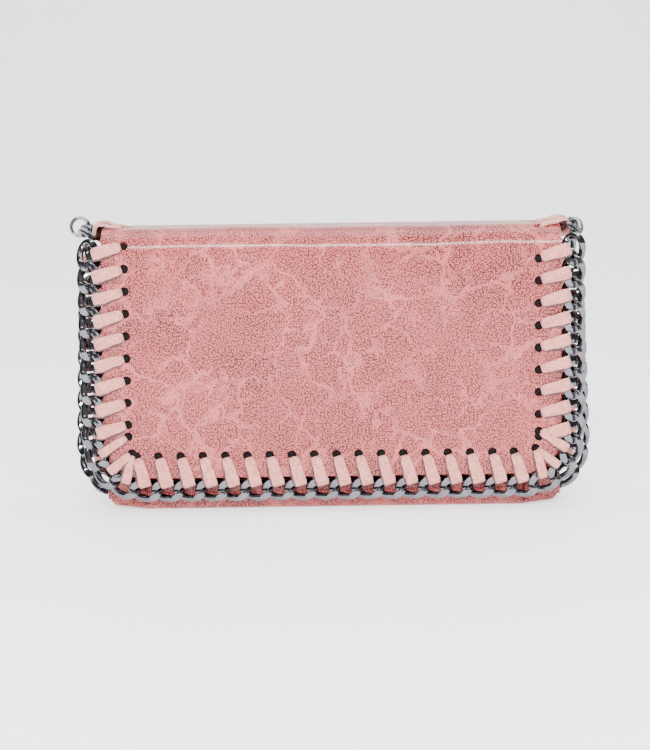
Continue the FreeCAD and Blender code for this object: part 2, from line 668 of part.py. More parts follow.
def build():
    os.makedirs("parts", exist_ok=True)
    body_left = body_frames()
    bridge_left = bridge_frames()
    body_right = list(frames_right(body_left))
    bridge_right = list(frames_right(bridge_left))
    flap = flap_frames()

    laced = {"left": above_corner(body_left), "right": above_corner(body_right)}
    both = laced["left"] + laced["right"]
    body_holes = [hole_for(f, BODY_HOLE_INSET) for f in both]
    bridge_holes = [hole_for(f, FLAP_HOLE_INSET) for f in bridge_left + bridge_right]
    flap_holes = [flap_hole(f) for f in flap]

    for side, link_frames in (("left", body_left), ("right", body_right)):
        save("body_chain_" + side, chain(link_frames))
        holes = [hole_for(f, BODY_HOLE_INSET) for f in laced[side]]
        save("body_lace_" + side, lace(laced[side], holes))
    for side, link_frames in (("left", bridge_left), ("right", bridge_right)):
        save("bridge_chain_" + side, chain(link_frames))
        save("bridge_lace_" + side, lace(link_frames, [hole_for(f, FLAP_HOLE_INSET) for f in link_frames]))
    save("flap_chain", chain(flap))
    save("flap_lace", lace(flap, flap_holes))

    save("body_leather", body_leather(body_holes, both))
    save("body_lining", body_lining())
    save("front_board", wall_board(-1))
    save("back_board", wall_board(1))
    save("mouth_binding", mouth_binding())
    save("corner_tab_right", corner_tab())
    save("corner_tab_left", mirrored(corner_tab()))
    save("corner_lace_right", corner_lace())
    save("corner_lace_left", mirrored(corner_lace()))
    save("lace_tail", lace_tail())

    outer = SHOULDER_R
    inner = SHOULDER_R - LEATHER
    leather = bridge_layer(outer, inner, FLAP_HALF_WIDTH)
    save("bridge_leather", punched(leather, bridge_left + bridge_right, bridge_holes))
    save("bridge_lining", bridge_layer(inner, inner - LINING, LINED_HALF_WIDTH))

    leather = flap_layer(FLAP_HALF_WIDTH, FLAP_EDGE_Z, FLAP_CORNER_R + CORNER_EASE, outer, inner)
    save("flap_leather", punched(leather, flap, flap_holes))
    board = flap_outline(LINED_HALF_WIDTH - 1, 26.0, SHOULDER_Z - 1, 4.0, FLAP_FACE + LEATHER, BOARD)
    save("flap_board", board.cut(snap_disc(SNAP_R - 1, FLAP_FACE, FRONT_WALL)))
    lining_front = FLAP_FACE + LEATHER + BOARD
    lining = flap_outline(LINED_HALF_WIDTH, 25.0, SHOULDER_Z - 0.5, 5.0, lining_front, LINING)
    lining_back = lining_front + LINING
    slots = []
    for x in (-SNAP_PRONG_X, SNAP_PRONG_X):
        slots.append(box(x - 1.7, x + 1.7, FLAP_FACE, FRONT_WALL, SNAP_Z - 0.35, SNAP_Z + 0.35))
    save("flap_lining", lining.cut(slots))

    save("snap_socket", snap_socket())
    save("snap_socket_washer", snap_washer(-INNER_WALL + 0.05, -INNER_WALL + 0.55))
    save("snap_stud", snap_stud())
    save("snap_stud_washer", snap_washer(FLAP_FACE + LEATHER + 0.1, lining_back - LINING - 0.1))

    save("coin_leaf_front", coin_leaf(-1))
    save("coin_leaf_back", coin_leaf(1))
    save("coin_gusset", coin_gusset())
    save("zip_tape_front", zip_tape(-1))
    save("zip_tape_back", zip_tape(1))
    save("zip_teeth_front", zip_teeth(-1))
    save("zip_teeth_back", zip_teeth(1))
    save("zip_stops", zip_stops())
    save("zip_slider", zip_slider())
    save("zip_pull", zip_pull())
    for index in range(len(CARD_TOPS)):
        save("card_slot_%d" % (index + 1), card_slot(index))

    ring, rail = strap_ring(bridge_left[1])
    save("strap_ring", ring)

    fold = (SHOULDER_R * math.cos(math.pi / 4)) + SHOULDER_Z
    reach = SHOULDER_R * math.sin(math.pi / 4)
    print("links", len(body_left), len(bridge_left), len(flap))
    print("back fold axis", BACK_CENTRE + reach, fold)
    print("front fold axis", FRONT_CENTRE - reach, fold)
    print("ring axis", rail)
    print("zip pull axis", SLIDER_X, PIN_Z)


def frames_right(left):
    """The right side's links, travelled the other way so that the twist stays the same."""
    for centre, along, out, normal in reversed(left):
        mirrored_along = V(along.x, -along.y, -along.z)
        yield (
            V(-centre.x, centre.y, centre.z),
            mirrored_along,
            V(-out.x, out.y, out.z),
            V(-normal.x, normal.y, normal.z),
        )


build()
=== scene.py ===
# %% [markdown]
# # A flap wallet edged with curb chain
# The wallet is one long leather sheet folded round a pouch. Its edges carry a flat curb chain, and suede lace
# whips the chain to the leather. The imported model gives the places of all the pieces, and each cell below
# makes one finish or one piece over it. All lengths in the code are in millimetres until a mesh is made.

# %% Load the frame
import bmesh
import bpy
import json
import math
import random

import numpy as np
from mathutils import Matrix, Vector, noise
from mathutils.geometry import delaunay_2d_cdt


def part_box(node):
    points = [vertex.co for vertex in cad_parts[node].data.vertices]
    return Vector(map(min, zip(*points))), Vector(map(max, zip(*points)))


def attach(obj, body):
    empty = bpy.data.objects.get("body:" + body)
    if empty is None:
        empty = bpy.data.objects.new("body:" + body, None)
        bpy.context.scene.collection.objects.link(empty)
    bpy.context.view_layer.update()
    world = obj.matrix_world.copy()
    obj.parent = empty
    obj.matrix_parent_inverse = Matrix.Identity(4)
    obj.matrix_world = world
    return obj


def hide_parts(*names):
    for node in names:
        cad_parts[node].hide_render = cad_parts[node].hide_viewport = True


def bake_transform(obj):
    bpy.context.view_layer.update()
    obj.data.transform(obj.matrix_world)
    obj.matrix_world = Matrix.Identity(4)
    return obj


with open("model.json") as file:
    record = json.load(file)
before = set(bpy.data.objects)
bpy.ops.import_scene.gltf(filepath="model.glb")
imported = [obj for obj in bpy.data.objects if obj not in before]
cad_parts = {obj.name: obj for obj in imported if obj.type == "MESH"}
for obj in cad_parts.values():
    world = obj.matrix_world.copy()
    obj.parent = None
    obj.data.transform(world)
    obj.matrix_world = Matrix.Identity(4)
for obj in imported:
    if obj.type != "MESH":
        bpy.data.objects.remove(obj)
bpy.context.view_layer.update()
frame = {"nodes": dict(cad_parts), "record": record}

MM = 0.001

# %% [markdown]
# A finish is a tree of shader nodes. The helper below starts a material and adds nodes to it with one short
# call each, so that every finish reads as a list of what happens to the colour and the bump.


# %% A helper for finishes
class Finish:
    """A material under construction: node() adds a node, join() links two sockets."""

    def __init__(self, name, rough, metal=0.0, **uniform):
        self.material = bpy.data.materials.new(name)
        self.material.use_nodes = True
        self.tree = self.material.node_tree
        self.shader = self.tree.nodes["Principled BSDF"]
        self.shader.inputs["Roughness"].default_value = rough
        self.shader.inputs["Metallic"].default_value = metal
        for socket, value in uniform.items():
            self.shader.inputs[socket.replace("_", " ")].default_value = value

    def node(self, kind, **values):
        made = self.tree.nodes.new("ShaderNode" + kind)
        for key, value in values.items():
            if hasattr(made, key):
                setattr(made, key, value)
            else:
                made.inputs[key.replace("_", " ")].default_value = value
        return made

    def join(self, source, target):
        self.tree.links.new(source, target)

    def give(self, value, target):
        """A number or a colour sets the socket, and anything else is linked to it."""
        if isinstance(value, (int, float, tuple)):
            target.default_value = value
        else:
            self.join(value, target)

    def place(self, on_sheet):
        """Coordinates in metres: along the sheet for a piece that bends, else in the object's own space."""
        if on_sheet:
            return self.node("UVMap", uv_map="sheet").outputs["UV"]
        return self.node("TexCoord").outputs["Object"]

    def scaled(self, place, scale):
        move = self.node("Mapping", vector_type="POINT")
        even = isinstance(scale, (int, float))
        move.inputs["Scale"].default_value = (scale,) * 3 if even else scale
        self.join(place, move.inputs["Vector"])
        return move.outputs["Vector"]

    def noise(self, place, scale, detail=3.0, rough=0.5, distortion=0.0):
        made = self.node("TexNoise", Scale=1.0, Detail=detail, Roughness=rough, Distortion=distortion)
        self.join(self.scaled(place, scale), made.inputs["Vector"])
        return made.outputs["Fac"]

    def ramp(self, value, low, high, first=(0, 0, 0, 1), last=(1, 1, 1, 1)):
        made = self.node("ValToRGB")
        ends = made.color_ramp.elements
        ends[0].position, ends[1].position = low, high
        ends[0].color, ends[1].color = first, last
        self.join(value, made.inputs["Fac"])
        return made.outputs["Color"]

    def mix(self, share, a, b, blend="MIX"):
        made = self.node("Mix", data_type="RGBA", blend_type=blend)
        for socket, value in ((0, share), (6, a), (7, b)):
            self.give(value, made.inputs[socket])
        return made.outputs[2]

    def maths(self, operation, a, b=0.0):
        made = self.node("Math", operation=operation)
        self.give(a, made.inputs[0])
        self.give(b, made.inputs[1])
        return made.outputs[0]

    def times(self, a, b):
        return self.maths("MULTIPLY", a, b)

    def colour(self, source):
        self.join(source, self.shader.inputs["Base Color"])

    def roughness(self, value, low, high):
        made = self.node("MapRange", To_Min=low, To_Max=high)
        self.join(value, made.inputs["Value"])
        self.join(made.outputs["Result"], self.shader.inputs["Roughness"])

    def bump(self, height, distance, strength=1.0):
        made = self.node("Bump", Distance=distance, Strength=strength)
        self.join(height, made.inputs["Height"])
        if self.shader.inputs["Normal"].is_linked:
            self.join(self.shader.inputs["Normal"].links[0].from_socket, made.inputs["Normal"])
        self.join(made.outputs["Normal"], self.shader.inputs["Normal"])


# %% [markdown]
# The leather is coated and embossed with pebbles under a millimetre apart. Around the leather's own rose, the
# pebble tops are painted paler as a painted highlight and the valleys between them dark rose as painted shade.
# Cloudy patches deepen that painted shade, and pale creases cross it where the coat has cracked. The pattern
# follows the sheet round the folds, so it uses the sheet's own coordinates. The pebbles are bumps too, which
# breaks the highlight on the top fold into sparkling grains.


# %% Coated leather
def cracks(f, place, scale, width, low, high):
    """Thin wandering lines between cells, shown only in some places."""
    bend = f.node("TexNoise", Scale=1.0, Detail=5.0, Roughness=0.6)
    f.join(f.scaled(place, scale * 1.9), bend.inputs["Vector"])
    pushed = f.node("VectorMath", operation="MULTIPLY_ADD")
    f.join(bend.outputs["Color"], pushed.inputs[0])
    pushed.inputs[1].default_value = (0.95 / scale, 0.95 / scale, 0.95 / scale)
    f.join(place, pushed.inputs[2])
    cells = f.node("TexVoronoi", feature="DISTANCE_TO_EDGE", Scale=1.0, Randomness=1.0)
    f.join(f.scaled(pushed.outputs["Vector"], scale), cells.inputs["Vector"])
    thin = f.ramp(cells.outputs["Distance"], 0.0, width, (1, 1, 1, 1), (0, 0, 0, 1))
    return f.times(thin, f.ramp(f.noise(place, scale * 0.8, 2.0), low, high))


def coated_leather(name, on_sheet, shade_tone, deep, highlight_and_crease_tone, shine=0.42):
    f = Finish(name, 0.42, Coat_Weight=shine, Coat_Roughness=0.17, IOR=1.45, Specular_IOR_Level=0.25)
    place = f.place(on_sheet)
    flat = "2D" if on_sheet else "3D"
    pebble = f.node("TexVoronoi", voronoi_dimensions=flat, feature="F1", Scale=1.0, Randomness=0.88)
    f.join(f.scaled(place, 1380.0), pebble.inputs["Vector"])
    # The pebble distance below is dark in the valleys, where it paints shade, and 1 minus it is the pebbles'
    # bump height.
    shade_from, shade_to = (0.20, 0.46) if on_sheet else (0.28, 0.52)
    valley_shade = f.ramp(pebble.outputs["Distance"], shade_from, shade_to)
    patches = f.noise(place, 46.0, 5.0, 0.6, 0.6)
    broad = f.noise(place, 14.0, 3.0, 0.5, 0.4)
    clouds = f.ramp(f.maths("ADD", f.times(patches, 0.6), f.times(broad, 0.4)), 0.38, 0.62)
    long_cracks = cracks(f, place, 32.0, 0.048, 0.38, 0.54)
    short_cracks = cracks(f, place, 78.0, 0.065, 0.44, 0.58)
    veins = f.maths("MAXIMUM", long_cracks, short_cracks)
    # How deep the painted valley shade is: deeper in cloudy patches, lighter along the creases.
    strength = f.maths("SUBTRACT", f.maths("ADD", f.times(clouds, 0.14), 0.84), f.times(veins, 0.70))
    shade_colour = f.mix(clouds, shade_tone, deep)
    highlight_colour = f.mix(f.times(clouds, 0.14), highlight_and_crease_tone, shade_tone)
    raised = f.mix(f.times(veins, 0.6), highlight_colour, highlight_and_crease_tone)
    # Pebble tops take the painted highlight, the valleys the painted shade.
    f.colour(f.mix(f.times(valley_shade, strength), raised, shade_colour))
    f.roughness(patches, 0.36, 0.54)
    f.bump(f.maths("SUBTRACT", 1.0, valley_shade), 0.00010, 0.7)
    f.bump(veins, 0.00008, 0.4)
    f.bump(f.noise(place, 180.0, 3.0), 0.00022, 0.5)
    return f.material


# rose and dark_rose paint the shade in the valleys, and pale_rose the highlight on the pebble tops and the pale
# creases. inner_tones holds the same three for the inner leather.
rose = (0.140, 0.006, 0.009, 1)
dark_rose = (0.090, 0.004, 0.006, 1)
pale_rose = (0.640, 0.158, 0.150, 1)
leather = coated_leather("coated_leather", True, rose, dark_rose, pale_rose)
leather_fixed = coated_leather("coated_leather_fixed", False, rose, dark_rose, pale_rose, 0.35)
inner_tones = (0.50, 0.20, 0.20, 1), (0.30, 0.10, 0.11, 1), (0.60, 0.30, 0.29, 1)
inner_leather = coated_leather("plain_inner_leather", False, *inner_tones, 0.1)
print("leather", leather.name, leather_fixed.name, inner_leather.name)


# %% [markdown]
# Suede lace is the rough side of leather: no gloss at all, a short nap that scatters light at the edges, and
# slight changes of shade where the nap lies another way. Sheen gives the nap, and two noises give the fibres.
# A near-black band along one edge of each lace is painted shadow, the shade under the lace's lower edge.


# %% Suede lace
def suede():
    f = Finish("lace_nap", 0.95, Sheen_Weight=0.35, Sheen_Roughness=0.6, Specular_IOR_Level=0.15)
    place = f.place(False)
    fibre = f.noise(place, 1500.0, 4.0, 0.7)
    nap = f.noise(place, 420.0, 4.0, 0.6, 0.5)
    base = f.mix(f.ramp(nap, 0.32, 0.70), (0.62, 0.215, 0.185, 1), (0.84, 0.370, 0.320, 1))
    fuzzy = f.mix(f.times(f.ramp(fibre, 0.46, 0.62), 0.70), base, (0.42, 0.12, 0.11, 1))
    # Across the lace the UV runs towards its shadowed edge, and near that edge the colour turns near black:
    # painted shadow with a ragged border.
    split = f.node("SeparateXYZ")
    f.join(f.node("UVMap", uv_map="sheet").outputs["UV"], split.inputs[0])
    shadow_band = f.maths("ADD", split.outputs["X"], f.times(nap, 0.35))
    f.colour(f.mix(f.ramp(shadow_band, 0.90, 1.04), fuzzy, (0.060, 0.022, 0.030, 1)))
    f.bump(fibre, 0.00010, 0.6)
    f.bump(nap, 0.00016, 0.5)
    return f.material


lace_suede = suede()


# %% [markdown]
# The chain is plated dark nickel, polished, with faces cut flat by a diamond wheel. A metal shows only what
# it mirrors, so the finish is a dark tint, low roughness, and faint polishing lines that break it up.


# %% Plated metals
def plated(name, tint, rough, scratch=0.4, cloud=0.00004):
    f = Finish(name, rough, 1.0)
    place = f.place(False)
    smears = f.noise(place, 240.0, 3.0, 0.6)
    f.colour(f.mix(f.ramp(smears, 0.35, 0.68), tuple(c * 0.80 for c in tint[:3]) + (1,), tint))
    f.roughness(smears, rough * 0.7, rough * 1.5)
    f.bump(f.noise(place, (9000.0, 700.0, 700.0), 2.0), 0.000012, scratch)
    f.bump(f.noise(place, 330.0, 2.0), cloud, 0.5)
    return f.material


gunmetal = plated("plated_gunmetal", (0.19, 0.19, 0.21, 1), 0.11)
snap_metal = plated("brushed_nickel", (0.50, 0.50, 0.52, 1), 0.24)
zip_metal = plated("cast_zip_metal", (0.45, 0.45, 0.47, 1), 0.20)
print("metals", gunmetal.name, snap_metal.name, zip_metal.name)


# %% [markdown]
# Inside are woven cloths. A twill shows slanting ribs, and the zip's tape a plain rib across it. Bands of a
# wave texture stand for the yarns, crossed by a second, finer wave, and a noise varies the yarn's shade.


# %% Woven cloths
def woven(name, on_sheet, light, dark, yarn, slant):
    f = Finish(name, 0.9, Sheen_Weight=0.05, Sheen_Roughness=0.5, Specular_IOR_Level=0.1)
    place = f.place(on_sheet)
    turn = f.node("Mapping", vector_type="POINT")
    turn.inputs["Rotation"].default_value = (slant * 0.7, slant * 0.5, slant)
    f.join(place, turn.inputs["Vector"])
    ribs = []
    for direction, scale in (("X", yarn), ("Y", yarn * 1.7)):
        wave = f.node("TexWave", bands_direction=direction, Scale=1.0, Distortion=0.6, Detail=1.0)
        f.join(f.scaled(turn.outputs["Vector"], scale), wave.inputs["Vector"])
        ribs.append(wave.outputs["Fac"])
    weave = f.times(ribs[0], f.maths("ADD", f.times(ribs[1], 0.5), 0.5))
    tone = f.mix(f.noise(place, 500.0, 3.0), dark, light)
    f.colour(f.mix(f.times(weave, 0.7), dark, tone))
    f.bump(weave, 0.00012, 0.7)
    return f.material


black_light, black_dark = (0.034, 0.030, 0.030, 1), (0.007, 0.006, 0.006, 1)
twill_sheet = woven("twill_on_sheet", True, black_light, black_dark, 330.0, 0.8)
twill = woven("twill_fixed", False, black_light, black_dark, 330.0, 0.8)
tape_cloth = woven("rib_tape", False, (0.05, 0.045, 0.045, 1), (0.010, 0.009, 0.009, 1), 420.0, 0.0)
print("cloths", twill.name, tape_cloth.name)

# %% [markdown]
# Three outlines govern the trim: the line of chain on the pouch's sides, over the top, and round the flap.
# Each is a list of points with the sheet's outward normal. The links are spaced along it, end to end, and
# every link gives a small frame of its own (centre, along, out, normal) that its lace uses too.

# %% The lines that the chain follows
LEATHER = 1.6
HALF_DEPTH = 15.6
SHOULDER_R, SHOULDER_Z = 9.0, 101.0
BACK_CENTRE, FRONT_CENTRE = 6.6, -11.4
FLAP_MID = -19.6
FLAP_HALF_WIDTH, FLAP_EDGE_Z, FLAP_CORNER_R, CORNER_EASE = 88.2, 13.5, 13.0, 2.2
SIDE_FLAT, SIDE_SEAM = 74.0, 79.5
SEAM_LOW, SEAM_HIGH, SEAM_LOW_Z = -2.5, 14.0, 5.0
PITCH, WIRE, WIRE_WIDE, LINK_WIDTH, LINK_LENGTH = 8.6, 2.1, 2.75, 9.4, 13.2
LINK_TWIST, LINK_HALF_THICK = 1.75, 2.15
CHAIN_OFFSET, END_GAP, BODY_END_GAP = 4.8, 0.25, 0.45
FLAP_CHAIN_X = FLAP_HALF_WIDTH + CHAIN_OFFSET
BODY_CHAIN_X, BODY_CHAIN_R, BODY_CHAIN_START_X = 97.5, 16.0, 75.5
BODY_NECK_X, BODY_NECK_Z, NECK_EASE = 96.2, 85.0, 0.5
HOLE_R, FLAP_HOLE_INSET, BODY_HOLE_INSET, LACE_SLANT = 1.75, 8.6, 6.9, 3.3
OVERHANG = (LINK_LENGTH - PITCH) / 2
SEAM_LEAN = math.atan((SEAM_HIGH - SEAM_LOW) / (SHOULDER_Z - SEAM_LOW_Z))
SEAM_NORMAL = Vector((0, math.cos(SEAM_LEAN), -math.sin(SEAM_LEAN)))
FACE_NORMAL = Vector((0, -1, 0))


def seam_y(z):
    return SEAM_LOW + (z - SEAM_LOW_Z) / (SHOULDER_Z - SEAM_LOW_Z) * (SEAM_HIGH - SEAM_LOW)


def line(start, end, normal, steps=60):
    return [(start.lerp(end, i / steps), normal) for i in range(steps + 1)]


def shoulder(x, centre_y, first, last):
    path = []
    for i in range(61):
        a = math.radians(first + (last - first) * i / 60)
        normal = Vector((0, -math.sin(a), math.cos(a)))
        path.append((Vector((x, centre_y, SHOULDER_Z)) + normal * (SHOULDER_R - LEATHER / 2), normal))
    return path


def corner(centre_x, centre_z, radius, first, last, y_of, normal):
    path = []
    for i in range(61):
        a = math.radians(first + (last - first) * i / 60)
        z = centre_z + radius * math.sin(a)
        path.append((Vector((centre_x + radius * math.cos(a), y_of(z), z)), normal))
    return path


def other_way(path):
    return [(Vector((-p.x, p.y, p.z)), Vector((-n.x, n.y, n.z))) for p, n in reversed(path)]


def body_path():
    low, r = SEAM_LOW_Z, BODY_CHAIN_R
    start = Vector((-BODY_CHAIN_START_X, seam_y(low), low))
    turn = corner(r - BODY_CHAIN_X, low + r, r, 270, 180, seam_y, SEAM_NORMAL)
    back = shoulder(-FLAP_CHAIN_X, BACK_CENTRE, -90, -45)
    neck = Vector((-BODY_NECK_X, seam_y(BODY_NECK_Z), BODY_NECK_Z))
    side = line(turn[-1][0], neck, SEAM_NORMAL) + line(neck, back[0][0], SEAM_NORMAL)
    return line(start, turn[0][0], SEAM_NORMAL, 4) + turn + side + back


def bridge_path():
    back = shoulder(-FLAP_CHAIN_X, BACK_CENTRE, -45, 0)
    front = shoulder(-FLAP_CHAIN_X, FRONT_CENTRE, 0, 45)
    return back + line(back[-1][0], front[0][0], Vector((0, 0, 1))) + front


def flap_path():
    r = FLAP_CORNER_R + CHAIN_OFFSET
    x, z = FLAP_CHAIN_X - r, FLAP_EDGE_Z - CHAIN_OFFSET + r
    fold = shoulder(-FLAP_CHAIN_X, FRONT_CENTRE, 45, 90)
    turn = corner(-x, z, r, 180, 270, lambda _: FLAP_MID, FACE_NORMAL)
    left = fold + line(fold[-1][0], turn[0][0], FACE_NORMAL) + turn
    middle = Vector((0, FLAP_MID, z - r))
    return left + line(turn[-1][0], middle, FACE_NORMAL) + other_way(left)


def spaced(path, count, pitch, first):
    """Each link's centre, direction, outward side and normal, with its two ends on the path."""
    total = [0.0]
    for (a, _), (b, _) in zip(path, path[1:]):
        total.append(total[-1] + (b - a).length)

    def at(s):
        i = 0
        while i < len(path) - 2 and total[i + 1] < s:
            i += 1
        share = (s - total[i]) / max(total[i + 1] - total[i], 1e-9)
        (a, n), (b, m) = path[i], path[i + 1]
        return a.lerp(b, share), n.lerp(m, share)

    found = []
    for k in range(count):
        a, b = at(first + k * pitch)[0], at(first + (k + 1) * pitch)[0]
        normal = at(first + (k + 0.5) * pitch)[1]
        along = (b - a).normalized()
        normal = (normal - along * normal.dot(along)).normalized()
        found.append(((a + b) * 0.5, along, along.cross(normal), normal))
    return found


def path_length(path):
    return sum((b[0] - a[0]).length for a, b in zip(path, path[1:]))


def right_side(left):
    flip = []
    for centre, along, out, normal in reversed(left):
        flip.append((
            Vector((-centre.x, centre.y, centre.z)), Vector((along.x, -along.y, -along.z)),
            Vector((-out.x, out.y, out.z)), Vector((-normal.x, normal.y, normal.z)),
        ))
    return flip


whole = path_length(body_path())
body_count = int((whole - BODY_END_GAP - 2 * OVERHANG) / PITCH)
body_start = whole - BODY_END_GAP - OVERHANG - body_count * PITCH
body_left = spaced(body_path(), body_count, PITCH, body_start)
bridge_left = spaced(bridge_path(), 3, PITCH, (path_length(bridge_path()) - 3 * PITCH) / 2)
run = path_length(flap_path()) - 2 * (END_GAP + OVERHANG)
flap_count = round(run / PITCH)
flap_links = spaced(flap_path(), flap_count, run / flap_count, END_GAP + OVERHANG)
body_right, bridge_right = right_side(body_left), right_side(bridge_left)
print("links: body", len(body_left), "bridge", len(bridge_left), "flap", len(flap_links))


# %% [markdown]
# Every lace has a punched hole. On the straight edges a hole sits a little behind its link, which slants the
# lace. At the flap's rounded corners the laces fan out from shared holes.


# %% Where the holes are
def plain_hole(link, inset):
    centre, along, out, _ = link
    return centre - out * (CHAIN_OFFSET + inset) - along * LACE_SLANT


def flap_hole(link):
    centre = link[0]
    turn_x = FLAP_HALF_WIDTH - FLAP_CORNER_R
    turn_z = FLAP_EDGE_Z + FLAP_CORNER_R
    side = math.copysign(1, centre.x)
    if abs(centre.x) < turn_x or centre.z > turn_z:
        return plain_hole(link, FLAP_HOLE_INSET)
    angle = math.degrees(math.atan2(turn_z - centre.z, abs(centre.x) - turn_x))
    if angle < 22:
        return Vector((side * (FLAP_HALF_WIDTH - FLAP_HOLE_INSET), FLAP_MID, turn_z + 3.6))
    if angle > 68:
        return Vector((side * (turn_x - 3.6), FLAP_MID, FLAP_EDGE_Z + FLAP_HOLE_INSET))
    reach = (FLAP_CORNER_R - FLAP_HOLE_INSET) * math.cos(math.radians(45))
    return Vector((side * (turn_x + reach), FLAP_MID, turn_z - reach))


def laced(links):
    return [f for f in links if f[0].z > SEAM_LOW_Z + BODY_CHAIN_R * 0.6]


def once(holes):
    kept = []
    for hole in holes:
        if all((hole - other).length > 0.5 for other in kept):
            kept.append(hole)
    return kept


body_holes = once([plain_hole(f, BODY_HOLE_INSET) for f in laced(body_left) + laced(body_right)])
bridge_holes = once([plain_hole(f, FLAP_HOLE_INSET) for f in bridge_left + bridge_right])
flap_holes = once([flap_hole(f) for f in flap_links])
print("holes", len(body_holes), len(bridge_holes), len(flap_holes))

# %% [markdown]
# A leather sheet is cut flat, punched, and then bent. The same is done here: a triangulation of the flat
# outline with its holes gives the sheet, a bending function carries each point into space, and a second
# layer under it, one thickness away, closes the edges. The cut edges are then rounded a little.


# %% Cutting and bending a sheet
def mesh_piece(name, points, faces, material, uvs=None, crisp=38):
    """A smooth-shaded object from points in millimetres."""
    mesh = bpy.data.meshes.new(name)
    mesh.from_pydata([p * MM for p in points], [], faces)
    if uvs is not None:
        layer = mesh.uv_layers.new(name="sheet")
        for loop in mesh.loops:
            layer.data[loop.index].uv = uvs[loop.vertex_index]
    mesh.materials.append(material)
    piece = bpy.data.objects.new(name, mesh)
    bpy.context.scene.collection.objects.link(piece)
    smooth(piece, crisp)
    return piece


def smooth(piece, crisp=38):
    mesh = piece.data
    mesh.polygons.foreach_set("use_smooth", [True] * len(mesh.polygons))
    mesh.set_sharp_from_angle(angle=math.radians(crisp))
    mesh.update()


def faces_outward(piece):
    bm = bmesh.new()
    bm.from_mesh(piece.data)
    bmesh.ops.recalc_face_normals(bm, faces=bm.faces[:])
    bm.to_mesh(piece.data)
    bm.free()
    return piece


def tube_faces(rows, sides, closed=False):
    """Faces between successive rings of points, back to the first ring if the tube is closed."""
    faces = []
    for i in range(rows if closed else rows - 1):
        k = (i + 1) % rows
        for j in range(sides):
            m = (j + 1) % sides
            faces.append((i * sides + j, k * sides + j, k * sides + m, i * sides + m))
    return faces


def end_caps(rows, sides):
    return [tuple(range(sides)), tuple((rows - 1) * sides + j for j in reversed(range(sides)))]


def resampled(loop, step):
    """A closed outline with a point at least every step."""
    out = []
    for a, b in zip(loop, loop[1:] + loop[:1]):
        count = max(1, math.ceil((b - a).length / step))
        out += [a.lerp(b, i / count) for i in range(count)]
    return out


def inside(points, loop):
    x, y = points[:, 0], points[:, 1]
    hit = np.zeros(len(points), bool)
    for a, b in zip(loop, loop[1:] + loop[:1]):
        crosses = (a.y > y) != (b.y > y)
        with np.errstate(divide="ignore", invalid="ignore"):
            at = (b.x - a.x) * (y - a.y) / (b.y - a.y) + a.x
        hit ^= crosses & (x < at)
    return hit


def cut_sheet(outline, punched, step):
    """Flat points and triangles of a sheet with this outline and these holes."""
    outline = resampled(outline, step)
    rings = [outline] + punched
    flat, edges = [], []
    for ring in rings:
        first = len(flat)
        flat += ring
        edges += [(first + i, first + (i + 1) % len(ring)) for i in range(len(ring))]
    rim = np.array([(p.x, p.y) for p in flat])
    low, high = rim.min(0), rim.max(0)
    columns = np.arange(low[0] + step / 2, high[0], step)
    rows = np.arange(low[1] + step / 2, high[1], step * 0.9)
    grid = np.array([(x + (step / 2 if i % 2 else 0), y) for i, y in enumerate(rows) for x in columns])
    grid = grid[inside(grid, outline)]
    for ring in punched:
        grid = grid[~inside(grid, ring)]
    keep = np.ones(len(grid), bool)
    for p in rim:
        near = (grid[:, 0] - p[0]) ** 2 + (grid[:, 1] - p[1]) ** 2 < (step * 0.55) ** 2
        keep &= ~near
    flat += [Vector((float(x), float(y))) for x, y in grid[keep]]
    points, _, triangles, _, _, _ = delaunay_2d_cdt(flat, edges, [], 0, 1e-6)
    middle = np.array([(sum((points[i] for i in t), Vector((0, 0))) / 3)[:] for t in triangles])
    good = inside(middle, outline)
    for ring in punched:
        good &= ~inside(middle, ring)
    return points, [tuple(t) for t, ok in zip(triangles, good) if ok]


def bent_sheet(name, points, triangles, place, thick, material, rounding=0.35, crisp=38):
    """The flat sheet carried into space by place(u, v), with its underside one thickness below."""
    reach = 0.25
    outer, inner = [], []
    for p in points:
        across = place(p.x + reach, p.y) - place(p.x - reach, p.y)
        along = place(p.x, p.y + reach) - place(p.x, p.y - reach)
        normal = across.cross(along).normalized()
        here = place(p.x, p.y)
        outer.append(here)
        inner.append(here - normal * thick)
    count = len(points)
    seen = {}
    for t in triangles:
        for a, b in zip(t, t[1:] + t[:1]):
            seen[(a, b)] = True
    rim = [(a, b) for a, b in seen if (b, a) not in seen]
    faces = list(triangles) + [tuple(i + count for i in reversed(t)) for t in triangles]
    faces += [(b, a, a + count, b + count) for a, b in rim]
    uvs = [(p.x * MM, p.y * MM) for p in points] * 2
    piece = mesh_piece(name, outer + inner, faces, material, uvs, crisp)
    if rounding:
        round_edges(piece, rounding, 55)
        smooth(piece, crisp)
    return piece


def round_edges(piece, width, angle, segments=2):
    bm = bmesh.new()
    bm.from_mesh(piece.data)
    sharp = [e for e in bm.edges if len(e.link_faces) == 2 and e.calc_face_angle() > math.radians(angle)]
    bmesh.ops.bevel(
        bm, geom=sharp, offset=width * MM, segments=segments, profile=0.5, affect="EDGES", clamp_overlap=True,
    )
    bm.to_mesh(piece.data)
    bm.free()
    piece.data.update()


def ring(centre, radius, count=20):
    """A hole's round outline in the flat."""
    angles = [2 * math.pi * i / count for i in range(count)]
    return [Vector((centre[0] + radius * math.cos(a), centre[1] + radius * math.sin(a))) for a in angles]


